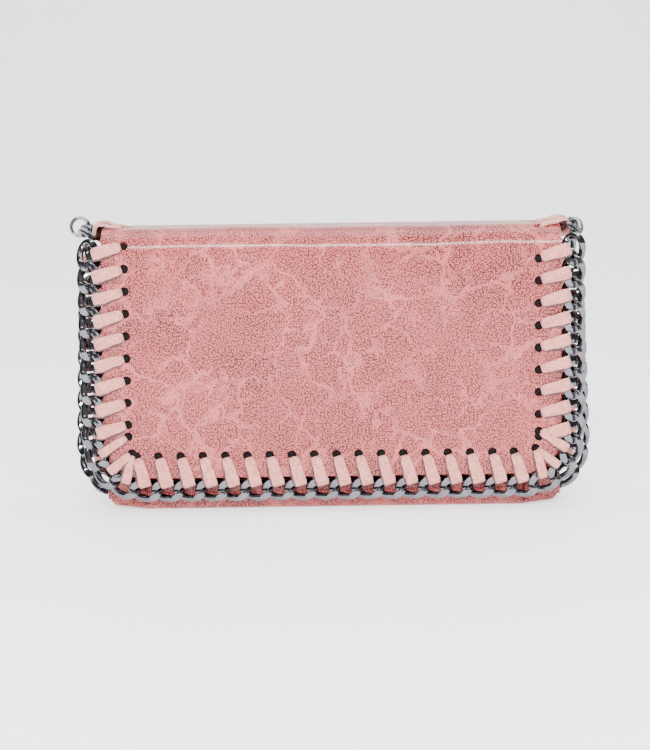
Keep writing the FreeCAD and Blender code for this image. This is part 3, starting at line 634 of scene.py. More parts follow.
def rounded_outline(x0, x1, y0, y1, radii, steps=10):
    """A rectangle whose corners, from lower left anticlockwise, have these radii."""
    out = []
    spots = ((x0, y0, 1, 1, 180), (x1, y0, -1, 1, 270), (x1, y1, -1, -1, 0), (x0, y1, 1, -1, 90))
    for (x, y, sx, sy, start), r in zip(spots, radii):
        if r <= 0:
            out.append(Vector((x, y)))
            continue
        for i in range(steps + 1):
            a = math.radians(start + 90 * i / steps)
            out.append(Vector((x + sx * r + r * math.cos(a), y + sy * r + r * math.sin(a))))
    return out


# %% [markdown]
# The front half of the sheet starts at the middle of the top, bends over the front shoulder and hangs down as
# the flap. Real leather is never quite flat, so a slow noise moves it by a fraction of a millimetre, which
# breaks up the highlight along the fold.

# %% The flap leather
BRIDGE_MIDDLE = (BACK_CENTRE + FRONT_CENTRE) / 2
TOP_RUN = BRIDGE_MIDDLE - FRONT_CENTRE
ARC_RUN = SHOULDER_R * math.pi / 2


def ripple(u, v, seed, size):
    a = noise.noise(Vector((u / 34.0, v / 21.0, seed)))
    b = noise.noise(Vector((u / 11.0, v / 9.0, seed + 7.3)))
    return size * (0.75 * a + 0.25 * b)


def over_front(v, inset=0.0):
    """y and z at a distance v from the middle of the top, forward and down, and the outward direction."""
    r = SHOULDER_R - inset
    if v < TOP_RUN:
        return BRIDGE_MIDDLE - v, SHOULDER_Z + r, 0.0, 1.0
    if v < TOP_RUN + ARC_RUN:
        a = (v - TOP_RUN) / SHOULDER_R
        return FRONT_CENTRE - r * math.sin(a), SHOULDER_Z + r * math.cos(a), -math.sin(a), math.cos(a)
    return FRONT_CENTRE - r, SHOULDER_Z - (v - TOP_RUN - ARC_RUN), -1.0, 0.0


FLAP_END = TOP_RUN + ARC_RUN + SHOULDER_Z - FLAP_EDGE_Z


def place_flap(u, v):
    y, z, ny, nz = over_front(v)
    near_edge = min((FLAP_HALF_WIDTH - abs(u)) / 18.0, (FLAP_END - v) / 18.0, 1.0)
    near_middle = min(v / 6.0, 1.0)
    lift = ripple(u, v, 1.7, 0.55) * max(near_edge, 0.0) * near_middle
    return Vector((-u, y + ny * lift, z + nz * lift))


def flap_flat(p):
    """The sheet's own coordinates of a point on the flap or on the front half of the top."""
    if p.z > SHOULDER_Z:
        a = math.atan2(-(p.y - FRONT_CENTRE), p.z - SHOULDER_Z)
        if a < 0:
            return -p.x, BRIDGE_MIDDLE - p.y
        return -p.x, TOP_RUN + SHOULDER_R * a
    return -p.x, TOP_RUN + ARC_RUN + SHOULDER_Z - p.z


corner_r = FLAP_CORNER_R + CORNER_EASE
outline = rounded_outline(-FLAP_HALF_WIDTH, FLAP_HALF_WIDTH, 0.0, FLAP_END, (0, 0, corner_r, corner_r))
in_front = [h for h in bridge_holes + flap_holes if h.y < BRIDGE_MIDDLE + 0.2]
punched = [ring(flap_flat(h), HOLE_R) for h in in_front if flap_flat(h)[1] > HOLE_R + 0.3]
flap_points, flap_triangles = cut_sheet(outline, punched, 1.7)
hide_flap = bent_sheet("flap_hide", flap_points, flap_triangles, place_flap, LEATHER, leather)
print("flap hide", len(hide_flap.data.polygons), "faces,", len(punched), "holes")

# %% [markdown]
# The pouch is the other end of the same sheet. Its walls slope together at each side into a flat seam that
# leans back towards the top. One function bends both halves: from the middle of the bottom, round the bottom
# fold, up the wall, and for the back half over the back shoulder to the middle of the top.

# %% The pouch leather
FOLD_R = 3.0
BOTTOM_RUN = HALF_DEPTH - FOLD_R
FOLD_RUN = FOLD_R * math.pi / 2
WALL_START = BOTTOM_RUN + FOLD_RUN
WALL_END = WALL_START + SHOULDER_Z - FOLD_R
SEAM_HALF = LEATHER / math.cos(SEAM_LEAN)
SEAM_FOOT_R = FOLD_R * 0.2


def slope_run(z, sign):
    return math.hypot(SIDE_SEAM - SIDE_FLAT, HALF_DEPTH - sign * seam_y(z) - SEAM_HALF)


def wall_point(u, v, sign):
    """sign is 1 for the back half and -1 for the front half."""
    z_flat = max(0.0, FOLD_R + v - WALL_START)
    run = slope_run(min(z_flat, SHOULDER_Z), sign)
    past = abs(u) - SIDE_FLAT
    share = min(max(past / run, 0.0), 1.0)
    x = abs(u) if past < 0 else SIDE_FLAT + (SIDE_SEAM - SIDE_FLAT) * share + max(past - run, 0.0)
    r = FOLD_R + (SEAM_FOOT_R - FOLD_R) * share

    def wall_y(z):
        seam = seam_y(min(z, SHOULDER_Z)) + sign * SEAM_HALF
        return sign * HALF_DEPTH + share * (seam - sign * HALF_DEPTH)

    x = -math.copysign(x, u) * sign
    if v >= WALL_END:
        a = (v - WALL_END) / SHOULDER_R
        if a < math.pi / 2:
            return Vector((x, BACK_CENTRE + SHOULDER_R * math.cos(a), SHOULDER_Z + SHOULDER_R * math.sin(a)))
        return Vector((x, BACK_CENTRE - (v - WALL_END - ARC_RUN), SHOULDER_Z + SHOULDER_R))
    if v >= WALL_START:
        z = r + (v - WALL_START) * (SHOULDER_Z - r) / (SHOULDER_Z - FOLD_R)
        return Vector((x, wall_y(z), z))
    foot = wall_y(r) - sign * r
    if v >= BOTTOM_RUN:
        a = (v - BOTTOM_RUN) / FOLD_R
        return Vector((x, foot + sign * r * math.sin(a), r - r * math.cos(a)))
    middle = share * seam_y(0)
    return Vector((x, middle + (foot - middle) * v / BOTTOM_RUN, 0.0))


def place_wall(sign):
    def place(u, v):
        if SIDE_FLAT - 4 < abs(u) and v < WALL_END + 3:
            spots = [wall_point(u + d, v, sign) for d in (-1.6, -0.8, 0.0, 0.8, 1.6)]
            p = sum(spots, Vector((0, 0, 0))) / len(spots)
        else:
            p = wall_point(u, v, sign)
        if WALL_START - 2 < v < WALL_END and abs(p.x) < SIDE_SEAM - 3:
            fade = min(v - WALL_START + 2, WALL_END - v, 14) / 14 * min((SIDE_SEAM - 3 - abs(p.x)) / 9, 1.0)
            p.y += sign * fade * (ripple(u, v, 4.1 + sign, 0.5) - 0.15)
        return p
    return place


def seam_flat(p, sign):
    """The sheet's own coordinates of a point on the seam's outer side."""
    v = WALL_START + (p.z - SEAM_FOOT_R) * (SHOULDER_Z - FOLD_R) / (SHOULDER_Z - SEAM_FOOT_R)
    z_flat = min(max(0.0, FOLD_R + v - WALL_START), SHOULDER_Z)
    u = SIDE_FLAT + slope_run(z_flat, sign) + abs(p.x) - SIDE_SEAM
    return -math.copysign(u, p.x) * sign, v


def seam_edge(sign, top):
    """The outline of the right half of a pouch wall, from the bottom up."""
    r = BODY_CHAIN_R - CHAIN_OFFSET + CORNER_EASE
    edge_x = BODY_CHAIN_X - CHAIN_OFFSET
    foot = slope_run(0.0, sign) + SIDE_FLAT
    points = [Vector((foot, 0.0)), Vector((foot, WALL_START))]
    for a in [math.radians(-80 + 8 * i) for i in range(11)]:
        low = CHAIN_OFFSET + r + r * math.sin(a)
        p = Vector((edge_x - r + r * math.cos(a), 0, SEAM_LOW_Z + low * math.cos(SEAM_LEAN)))
        u, v = seam_flat(p, sign)
        points.append(Vector((abs(u), v)))
    straight_from = SEAM_LOW_Z + (CHAIN_OFFSET + r) * math.cos(SEAM_LEAN)
    neck_x = BODY_NECK_X - CHAIN_OFFSET - NECK_EASE
    for i in range(1, 19):
        z = straight_from + (top - straight_from) * i / 18
        if z < BODY_NECK_Z:
            x = edge_x + (neck_x - edge_x) * (z - straight_from) / (BODY_NECK_Z - straight_from)
        else:
            x = neck_x + (FLAP_HALF_WIDTH - neck_x) * (z - BODY_NECK_Z) / (SHOULDER_Z - BODY_NECK_Z)
        u, v = seam_flat(Vector((x, 0, z)), sign)
        points.append(Vector((abs(u), v)))
    return points


def both_sides(right):
    return right + [Vector((-p.x, p.y)) for p in reversed(right)]


def seam_rings(sign):
    rings = []
    for hole in body_holes:
        circle = []
        across = Vector((1, 0, 0))
        up = SEAM_NORMAL.cross(across)
        for i in range(20):
            a = 2 * math.pi * i / 20
            p = hole + SEAM_NORMAL * sign * LEATHER + (across * math.cos(a) + up * math.sin(a)) * HOLE_R
            circle.append(Vector(seam_flat(p, sign)))
        rings.append(circle)
    return rings


MOUTH_Z = 96.0
mouth_v = WALL_START + MOUTH_Z - FOLD_R
front_edge = seam_edge(-1, SHOULDER_Z - 0.6)
front_edge += [Vector((SIDE_SEAM + 0.6, front_edge[-1].y)), Vector((SIDE_SEAM - 1.0, mouth_v))]
points, triangles = cut_sheet(both_sides(front_edge), seam_rings(-1), 2.0)
pouch_front = bent_sheet("pouch_front_hide", points, triangles, place_wall(-1), LEATHER, leather)

sheet_end = WALL_END + ARC_RUN + BACK_CENTRE - BRIDGE_MIDDLE
back_edge = seam_edge(1, SHOULDER_Z) + [Vector((FLAP_HALF_WIDTH, sheet_end))]
top_rings = []
for hole in bridge_holes:
    if hole.y > BRIDGE_MIDDLE - 0.2:
        a = math.atan2(hole.y - BACK_CENTRE, hole.z - SHOULDER_Z)
        v = WALL_END + (math.pi / 2 - a) * SHOULDER_R if a > 0 else WALL_END + ARC_RUN + BACK_CENTRE - hole.y
        top_rings.append(ring((-hole.x, v), HOLE_R))
points, triangles = cut_sheet(both_sides(back_edge), seam_rings(1) + top_rings, 2.0)
hide_back = bent_sheet("back_hide", points, triangles, place_wall(1), LEATHER, leather)
print("pouch hides", len(pouch_front.data.polygons), len(hide_back.data.polygons))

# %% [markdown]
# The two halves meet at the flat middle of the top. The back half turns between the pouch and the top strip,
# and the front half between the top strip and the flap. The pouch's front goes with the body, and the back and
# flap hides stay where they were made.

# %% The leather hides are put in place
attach(pouch_front, "body")
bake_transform(hide_back)
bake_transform(hide_flap)
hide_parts("flap_leather", "flap_board")
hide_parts("bridge_leather", "back_board")
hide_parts("body_leather", "front_board")

# %% [markdown]
# A curb link is an oval of round wire twisted so that neighbours lie flat in each other, then cut flat on
# both faces. The wire is swept along the twisted oval, and two planes cut the faces, which keeps their rims
# crisp. A narrow bevel on each rim catches the light as polished metal does.


# %% One curb link
def curb_link(steps=64, around=18):
    half_length, half_width = (LINK_LENGTH - WIRE_WIDE) / 2, (LINK_WIDTH - WIRE_WIDE) / 2
    points = []
    for i in range(steps):
        t = 2 * math.pi * i / steps
        c, s = math.cos(t), math.sin(t)
        middle = Vector((half_length * c, half_width * s, LINK_TWIST * math.sin(2 * t)))
        ahead = Vector((-half_length * s, half_width * c, 2 * LINK_TWIST * math.cos(2 * t)))
        side = ahead.cross(Vector((0, 0, 1))).normalized()
        up = side.cross(ahead).normalized()
        for j in range(around):
            a = 2 * math.pi * j / around
            points.append(middle + side * math.cos(a) * WIRE_WIDE / 2 + up * math.sin(a) * WIRE / 2)
    faces = []
    for i in range(steps):
        k = (i + 1) % steps
        for j in range(around):
            m = (j + 1) % around
            faces.append((i * around + j, i * around + m, k * around + m, k * around + j))
    bm = bmesh.new()
    spots = [bm.verts.new(p) for p in points]
    for face in faces:
        bm.faces.new([spots[i] for i in face])
    for sign in (1, -1):
        bmesh.ops.bisect_plane(
            bm, geom=bm.verts[:] + bm.edges[:] + bm.faces[:], dist=1e-4,
            plane_co=(0, 0, sign * LINK_HALF_THICK), plane_no=(0, 0, sign), clear_outer=True,
        )
        rim = [e for e in bm.edges if e.is_boundary]
        bmesh.ops.holes_fill(bm, edges=rim, sides=0)
    bmesh.ops.recalc_face_normals(bm, faces=bm.faces[:])
    sharp = [e for e in bm.edges if e.calc_face_angle(0) > math.radians(30)]
    bmesh.ops.bevel(bm, geom=sharp, offset=0.09, segments=1, profile=0.5, affect="EDGES", clamp_overlap=True)
    mesh = bpy.data.meshes.new("curb_link_pattern")
    bm.to_mesh(mesh)
    bm.free()
    return mesh


link_mesh = curb_link()
link_points = [v.co.copy() for v in link_mesh.vertices]
link_faces = [tuple(p.vertices) for p in link_mesh.polygons]
print("one link:", len(link_points), "points,", len(link_faces), "faces")


# %% [markdown]
# Each chain is that link, copied into every frame of its line. A small random tilt, the same on every run,
# keeps the highlights from repeating exactly from link to link.


# %% The chains
def chain(name, links, seed):
    luck = random.Random(seed)
    points, faces = [], []
    for centre, along, out, normal in links:
        turn = Matrix((along, out, normal)).transposed()
        turn = turn @ Matrix.Rotation(math.radians(luck.uniform(-1.6, 1.6)), 3, "X")
        first = len(points)
        points += [centre + turn @ p for p in link_points]
        faces += [tuple(first + i for i in face) for face in link_faces]
    return mesh_piece(name, points, faces, gunmetal, crisp=24)


runs = {
    "body_chain_left": (body_left, "body"), "body_chain_right": (body_right, "body"),
    "bridge_chain_left": (bridge_left, "bridge"), "bridge_chain_right": (bridge_right, "bridge"),
    "flap_chain": (flap_links, "flap"),
}
for seed, (node, (links, body)) in enumerate(runs.items()):
    piece = chain(node + "_links", links, seed)
    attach(piece, body)
    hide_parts(node)
    print(node, len(piece.data.polygons), "faces")


# %% [markdown]
# A whip stitch comes up through its hole, crosses the edge, goes over the link's inner rail, down through the
# link, and back below. It is a soft flat strap: narrow where the hole pinches it, wide over the chain. The
# strap is a rounded section swept round that loop, with an uneven width and a slightly wavy face.


# %% Lace stitches
LACE_THICK = 0.95
OVER_RAIL = -1.62


def eased(points, count):
    """A closed smooth curve through the points, as Catmull and Rom draw it."""
    out = []
    n = len(points)
    for i in range(n):
        a, b, c, d = (points[(i + k) % n] for k in (-1, 0, 1, 2))
        for s in range(count):
            t = s / count
            square = (2 * a - 5 * b + 4 * c - d) * t * t
            cube = (3 * b - a - 3 * c + d) * t ** 3
            out.append(0.5 * (2 * b + (c - a) * t + square + cube))
    return out


def whip_stitch(link, hole, half_leather, narrow, luck):
    centre, along, out, normal = link
    rel = hole - centre
    ht, hn = rel.dot(along), rel.dot(out)
    direction = Vector((-ht, OVER_RAIL - hn))
    length = direction.length
    direction.normalize()
    across = (along * -direction.y + out * direction.x)
    ahead = (along * direction.x + out * direction.y)
    wide = luck.uniform(0.95, 1.06) * narrow
    low, mid = half_leather + 0.30, half_leather + 0.62
    puff = luck.uniform(0.0, 0.25)
    upper = [
        (1.40, 0.0, 1.6), (2.0, low, 2.05), (3.1, mid + puff, 2.25), (length * 0.5, mid + 0.35 + puff, 2.45),
        (length - 3.6, 2.72, 2.62), (length - 2.0, 2.98, 2.70), (length - 0.85, 2.62, 2.55),
        (length - 0.1, 1.2, 2.3),
    ]
    loop = [Vector((q, h, w)) for q, h, w in upper] + [Vector((length, 0.0, 2.1))]
    loop += [Vector((q, -h, w)) for q, h, w in reversed(upper[1:])]
    curve = eased(loop, 4)
    sides = 14
    seed = luck.uniform(0, 90)
    # Which edge of the strap takes the painted shadow: the lower edge of a lace that lies across, the edge
    # towards -x on an upright lace.
    shadow_side = -1 if (across.z > 0 if abs(across.z) > 0.5 else across.x > 0) else 1
    points, across_strap = [], []
    for i, spot in enumerate(curve):
        before, after = curve[i - 1], curve[(i + 1) % len(curve)]
        tangent = Vector((after.x - before.x, after.y - before.y)).normalized()
        lean = Vector((-tangent.y, tangent.x))
        wander = 0.16 * noise.noise(Vector((i * 0.33, seed, 0)))
        for j in range(sides):
            a = 2 * math.pi * j / sides
            c, s = math.cos(a), math.sin(a)
            flat = math.copysign(abs(c) ** 0.45, c) * spot.z * wide
            flat *= 1 + 0.055 * noise.noise(Vector((i * 0.6, c * 2, seed)))
            thick = math.copysign(abs(s) ** 0.7, s) * LACE_THICK / 2
            thick += 0.07 * noise.noise(Vector((i * 0.5, flat * 0.9, seed + 5)))
            q = spot.x + lean.x * thick
            h = spot.y + lean.y * thick
            points.append(hole + ahead * q + across * (flat + wander) + normal * h)
            across_strap.append((0.5 + 0.5 * c * shadow_side, i / len(curve)))
    return points, tube_faces(len(curve), sides, closed=True), across_strap


def lace(name, links, hole_of, half_leather, seed):
    luck = random.Random(seed)
    points, faces, uvs = [], [], []
    for link in links:
        turning = abs(link[1].x) > 0.05 and abs(link[1].z) > 0.05
        narrow = 0.74 if turning else 1.0
        more, new_faces, across_strap = whip_stitch(link, hole_of(link), half_leather, narrow, luck)
        first = len(points)
        points += more
        uvs += across_strap
        faces += [tuple(first + i for i in face) for face in new_faces]
    piece = mesh_piece(name, points, faces, lace_suede, uvs, crisp=70)
    return faces_outward(piece)


def over_seam(link):
    return plain_hole(link, BODY_HOLE_INSET)


def over_edge(link):
    return plain_hole(link, FLAP_HOLE_INSET)


stitches = {
    "body_lace_left": (laced(body_left), over_seam, LEATHER, "body"),
    "body_lace_right": (laced(body_right), over_seam, LEATHER, "body"),
    "bridge_lace_left": (bridge_left, over_edge, LEATHER / 2, "bridge"),
    "bridge_lace_right": (bridge_right, over_edge, LEATHER / 2, "bridge"),
    "flap_lace": (flap_links, flap_hole, LEATHER / 2, "flap"),
}
for seed, (node, (links, hole_of, half, body)) in enumerate(stitches.items()):
    piece = lace(node + "_suede", links, hole_of, half, 20 + seed)
    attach(piece, body)
    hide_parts(node)
    print(node, len(links), "stitches")


# %% [markdown]
# A spare end of lace sticks out at the upper left, and a leather tab closes each bottom corner over the end
# of the body's chain. Straps are swept like the stitches but left open, with rounded ends. The tabs are cut
# sheets with deep creases, because the leather is gathered there.

# %% The loose lace end and the corner straps
def open_strap(name, spots, across, thick, material, seed, sides=14):
    """spots are (point, half width); across is the direction of the strap's width."""
    across = across.normalized()
    path = []
    for i in range(len(spots) - 1):
        a, b = spots[max(i - 1, 0)], spots[i]
        c, d = spots[i + 1], spots[min(i + 2, len(spots) - 1)]
        for s in range(6):
            t = s / 6
            weights = (
                -t + 2 * t * t - t ** 3, 2 - 5 * t * t + 3 * t ** 3,
                t + 4 * t * t - 3 * t ** 3, t ** 3 - t * t,
            )
            p = sum((v[0] * w for v, w in zip((a, b, c, d), weights)), Vector((0, 0, 0))) * 0.5
            path.append((p, b[1] + (c[1] - b[1]) * t))
    path.append(spots[-1])
    points = []
    last = len(path) - 1
    for i, (p, wide) in enumerate(path):
        tangent = (path[min(i + 1, last)][0] - path[max(i - 1, 0)][0]).normalized()
        up = tangent.cross(across).normalized()
        side = up.cross(tangent).normalized()
        end = min(i, last - i)
        shrink = (0.35, 0.72, 0.92)[end] if end < 3 else 1.0
        for j in range(sides):
            a = 2 * math.pi * j / sides
            c, s = math.cos(a), math.sin(a)
            flat = math.copysign(abs(c) ** 0.45, c) * wide * shrink
            flat *= 1 + 0.05 * noise.noise(Vector((i * 0.5, c * 2, seed)))
            height = math.copysign(abs(s) ** 0.7, s) * thick / 2 * (0.5 + shrink / 2)
            height += 0.05 * noise.noise(Vector((i * 0.5, flat, seed + 3)))
            points.append(p + side * flat + up * height)
    faces = tube_faces(len(path), sides) + end_caps(len(path), sides)
    piece = mesh_piece(name, points, faces, material, crisp=70)
    return faces_outward(piece)


tail_y = seam_y(SHOULDER_Z - 4) + 4.4
tail_spots = [
    ((-92.9, 0.1, 98.6), 1.9), ((-95.4, 0.3, 97.4), 2.1),
    ((-98.0, -0.1, 95.9), 2.0), ((-100.4, 0.1, 94.0), 1.5),
]
tail = open_strap(
    "lace_end", [(Vector((x, tail_y + y, z)), w) for (x, y, z), w in tail_spots],
    Vector((0.5, 0, -0.85)), LACE_THICK, lace_suede, 3.0,
)
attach(tail, "body")
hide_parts("lace_tail")

TAB_X0, TAB_X1, TAB_Y0, TAB_Y1 = 74.6, 88.2, -15.6, -8.5
STRAP_SHAPE = (
    (0.36, -0.5, 0.9), (0.42, 0.6, 1.4), (0.62, 0.85, 1.75),
    (0.86, 0.9, 1.85), (1.02, 0.5, 1.8), (1.05, -0.9, 1.7),
)
tab_run = math.hypot(TAB_X1 - TAB_X0, TAB_Y1 - TAB_Y0)
for side, word in ((1, "right"), (-1, "left")):
    def place_tab(u, v, side=side):
        share = abs(u) / tab_run
        crease = 0.55 * noise.noise(Vector((u * 0.16 + v * 0.23, v * 0.07 - u * 0.05, 3.0 + side)))
        crease += 0.30 * noise.noise(Vector((u * 0.55 - v * 0.4, v * 0.15, 9.0)))
        edge = min(abs(u), tab_run - abs(u), v - 1.0, 11.5 - v)
        lift = crease * min(max(edge, 0.0) / 2.0, 1.0) + 0.12 * share
        x = TAB_X0 + (TAB_X1 - TAB_X0) * share + lift * 0.46
        return Vector((side * x, TAB_Y0 + (TAB_Y1 - TAB_Y0) * share - lift * 0.89, v))

    low_u, high_u = (0.0, tab_run) if side > 0 else (-tab_run, 0.0)
    outer_r, inner_r = 3.4, 0.6
    radii = (inner_r, outer_r, outer_r, inner_r) if side > 0 else (outer_r, inner_r, inner_r, outer_r)
    hole_u = side * (79.0 - TAB_X0) / (TAB_X1 - TAB_X0) * tab_run
    tab_outline = rounded_outline(low_u, high_u, 1.0, 11.5, radii)
    points, triangles = cut_sheet(tab_outline, [ring((hole_u, 5.0), HOLE_R * 0.8)], 0.7)
    tab = bent_sheet("corner_tab_%s_hide" % word, points, triangles, place_tab, 1.25, leather, 0.3)
    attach(tab, "body")
    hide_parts("corner_tab_" + word)
    strap_spots = []
    for share, out, wide in STRAP_SHAPE:
        x = TAB_X0 + (TAB_X1 - TAB_X0) * share + out * 0.46
        strap_spots.append((Vector((side * x, TAB_Y0 + (TAB_Y1 - TAB_Y0) * share - out * 0.89, 5.0)), wide))
    strap = open_strap(
        "corner_lace_%s_suede" % word, strap_spots, Vector((0, 0, 1)), 0.85, leather_fixed, 5.0 + side,
    )
    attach(strap, "body")
    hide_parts("corner_lace_" + word)
print("tail, tabs and corner straps made")

# %% [markdown]
# The strap ring is round wire bent to a circle and left open by a saw cut. It is swept like the links, with
# two flat ends where the cut is.


# %% The strap ring
def cut_ring(name, centre, radius, wire, cut_angle, gap, material, steps=72, sides=18):
    half_gap = gap / 2 / radius
    points = []
    for i in range(steps + 1):
        a = cut_angle + half_gap + (2 * math.pi - 2 * half_gap) * i / steps
        out = Vector((math.cos(a), 0, math.sin(a)))
        for j in range(sides):
            b = 2 * math.pi * j / sides
            points.append(centre + out * (radius + wire * math.cos(b)) - FACE_NORMAL * wire * math.sin(b))
    faces = tube_faces(steps + 1, sides) + end_caps(steps + 1, sides)
    piece = mesh_piece(name, points, faces, material, crisp=40)
    return faces_outward(piece)


ring_low, ring_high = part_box("strap_ring")
ring_centre = (ring_low + ring_high) / 2 / MM
strap_ring = cut_ring("strap_ring_wire", ring_centre, 3.55, 0.65, math.atan2(-0.78, -0.62), 0.3, gunmetal)
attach(strap_ring, "strap_ring")
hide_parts("strap_ring")
print("ring centre", tuple(round(c, 2) for c in ring_centre))

# %% [markdown]
# Cloth covers the inside of the leather. One lining follows the front fold with the flap, swelling over the
# stiff board behind the flap, and another follows the back fold. They bend exactly as the leather does. A bag
# of the same cloth hangs in the pouch.

# %% The linings
CLOTH = 0.6
LINING_HALF, LINING_R = 86.4, 13.0
lining_end = FLAP_END - 1.8


def rise(value, low, high):
    t = min(max((value - low) / (high - low), 0.0), 1.0)
    return t * t * (3 - 2 * t)


def place_flap_lining(u, v):
    over_board = rise(78.0 - abs(u), 0.0, 2.5) * rise(v, TOP_RUN + ARC_RUN - 4, TOP_RUN + ARC_RUN)
    over_board *= rise(FLAP_END - 11.0 - v, 0.0, 2.5)
    wrinkle = 0.12 * noise.noise(Vector((u / 17.0, v / 13.0, 2.2)))
    inset = LEATHER + 0.06 + (0.64 + wrinkle) * over_board + CLOTH
    y, z, _, _ = over_front(v, inset)
    return Vector((u, y, z))


lining_outline = rounded_outline(-LINING_HALF, LINING_HALF, 0.0, lining_end, (0, 0, LINING_R, LINING_R))
points, triangles = cut_sheet(lining_outline, [], 2.4)
flap_lining = bent_sheet("flap_lining_cloth", points, triangles, place_flap_lining, CLOTH, twill_sheet, 0.12)
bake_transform(flap_lining)
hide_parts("flap_lining")

BACK_LINING_HALF, BACK_TUCK = 76.0, 7.5
back_turn = BACK_CENTRE - BRIDGE_MIDDLE


def place_back_lining(u, v):
    r = SHOULDER_R - LEATHER - 0.06 - CLOTH
    if v < back_turn:
        return Vector((-u, BRIDGE_MIDDLE + v, SHOULDER_Z + r))
    if v < back_turn + ARC_RUN:
        a = (v - back_turn) / SHOULDER_R
        return Vector((-u, BACK_CENTRE + r * math.sin(a), SHOULDER_Z + r * math.cos(a)))
    return Vector((-u, BACK_CENTRE + r, SHOULDER_Z - (v - back_turn - ARC_RUN)))


def flipped(place):
    return lambda u, v: place(-u, v)


back_run = back_turn + ARC_RUN + BACK_TUCK
lining_outline = rounded_outline(-BACK_LINING_HALF, BACK_LINING_HALF, 0.0, back_run, (0, 0, 3, 3))
points, triangles = cut_sheet(lining_outline, [], 2.0)
back_lining = bent_sheet(
    "back_lining_cloth", points, triangles, flipped(place_back_lining), CLOTH, twill_sheet, 0.12,
)
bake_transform(back_lining)
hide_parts("bridge_lining")


def bag(name, half_x, half_y, low, high, thick, material, count=120):
    """An open-topped bag: rounded rectangles stacked up outside and down again inside."""
    def loop(inset, z, wave=0.0):
        a, b = half_x - inset, half_y - inset
        r = max(min(3.5 - inset * 0.3, b - 0.05), 0.05)
        around = []
        for i in range(count):
            t = 2 * math.pi * i / count
            c, s = math.cos(t), math.sin(t)
            p = Vector((a * math.copysign(abs(c) ** 0.16, c), b * math.copysign(abs(s) ** 0.5, s), z))
            p.y += wave * noise.noise(Vector((p.x / 15, z / 14, math.copysign(4, s))))
            around.append(p)
        return around

    def wave(i):
        return -0.25 * math.sin(math.pi * i / 16)

    outside, inside_run = high - low - 1.2, high - low - thick - 1.2
    floor = low + thick
    rows = [loop(half_y - 0.4, low), loop(half_y * 0.5, low), loop(1.2, low)]
    rows += [loop(0.35, low + 0.35), loop(0, low + 1.2)]
    rows += [loop(0, low + 1.2 + outside * i / 16, wave(i)) for i in range(1, 17)]
    rows += [loop(thick, high - inside_run * i / 16, wave(i)) for i in range(17)]
    rows += [loop(thick + 0.4, floor + 0.35), loop(thick + 1.4, floor)]
    rows += [loop(half_y * 0.5 + thick, floor), loop(half_y - 0.3, floor)]
    points = [p for row in rows for p in row]
    faces = tube_faces(len(rows), count) + end_caps(len(rows), count)
    piece = mesh_piece(name, points, faces, material, crisp=50)
    return faces_outward(piece)


pouch_lining = bag("pouch_lining_cloth", 71.0, 13.05, 1.85, 95.0, CLOTH, twill)
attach(pouch_lining, "body")
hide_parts("body_lining")
print("linings", [len(cloth.data.polygons) for cloth in (flap_lining, back_lining, pouch_lining)])

# %% [markdown]
# Inside the pouch are flat pieces: the coin pocket's two walls and its gusset, the zip's tapes, four card
# slots, and a leather binding over the front edge of the mouth. Each is a cut sheet with rounded edges, and a
# row of thread runs along the edges that are sewn.


# %% Pocket walls, card slots and binding
def panel(name, half_x, z0, z1, front_y, thick, material, top_r=3.0, wave=0.12, dip=0.0):
    """An upright panel that faces forward. dip lowers the middle of its top edge as a thumb cut."""
    outline = rounded_outline(-half_x, half_x, z0, z1, (1.5, 1.5, top_r, top_r))
    if dip:
        cut = [Vector((x, z1 - dip * math.cos(x / 12.0 * math.pi / 2))) for x in range(12, -13, -3)]
        top = [i for i, p in enumerate(outline) if p.y > z1 - 1e-6]
        outline[top[0] + 1:top[0] + 1] = cut

    def place(u, v):
        fade = min((half_x - abs(u)) / 6, (v - z0) / 6, 1.0)
        return Vector((u, front_y + wave * fade * noise.noise(Vector((u / 16, v / 14, front_y))), v))

    points, triangles = cut_sheet(outline, [], 3.0)
    return bent_sheet(name, points, triangles, place, thick, material, min(0.2, thick / 3))


def thread(name, runs, body, pitch=2.9, size=0.42):
    """Short rounded stitches along straight runs of (start, end, outward)."""
    points, faces = [], []
    shape = [(-1.0, 0.25), (-0.8, 0.8), (-0.35, 1.0), (0.35, 1.0), (0.8, 0.8), (1.0, 0.25)]
    for start, end, outward in runs:
        along = (end - start).normalized()
        side = along.cross(outward).normalized()
        count = int((end - start).length / pitch)
        for k in range(count):
            middle = start + along * (k + 0.5) * pitch
            first = len(points)
            for at, wide in shape:
                for j in range(8):
                    a = 2 * math.pi * j / 8
                    ring_point = side * math.cos(a) + outward * math.sin(a) * 0.8
                    points.append(middle + along * at * pitch * 0.40 + ring_point * wide * size / 2)
            stitch = tube_faces(len(shape), 8) + end_caps(len(shape), 8)
            faces += [tuple(first + i for i in face) for face in stitch]
    piece = mesh_piece(name, points, faces, thread_finish, crisp=60)
    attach(piece, body)
    return piece


def sewing_thread():
    f = Finish("twisted_thread", 0.6, Sheen_Weight=0.2)
    strands = f.node("TexWave", bands_direction="DIAGONAL", Scale=1.0, Distortion=0.4)
    f.join(f.scaled(f.place(False), 2400.0), strands.inputs["Vector"])
    f.colour(f.mix(strands.outputs["Fac"], (0.42, 0.17, 0.17, 1), (0.66, 0.33, 0.32, 1)))
    f.bump(strands.outputs["Fac"], 0.00005, 0.6)
    return f.material


thread_finish = sewing_thread()
COIN_HALF, COIN_Y, COIN_TOP = 66.0, 2.9, 78.0
leaf_front = panel("coin_wall_front", COIN_HALF, 6, COIN_TOP, -COIN_Y - 0.7, 0.7, inner_leather, 1.0, 0.0)
leaf_back = panel("coin_wall_back", COIN_HALF, 6, COIN_TOP, COIN_Y, 0.7, inner_leather, 1.0, 0.0)


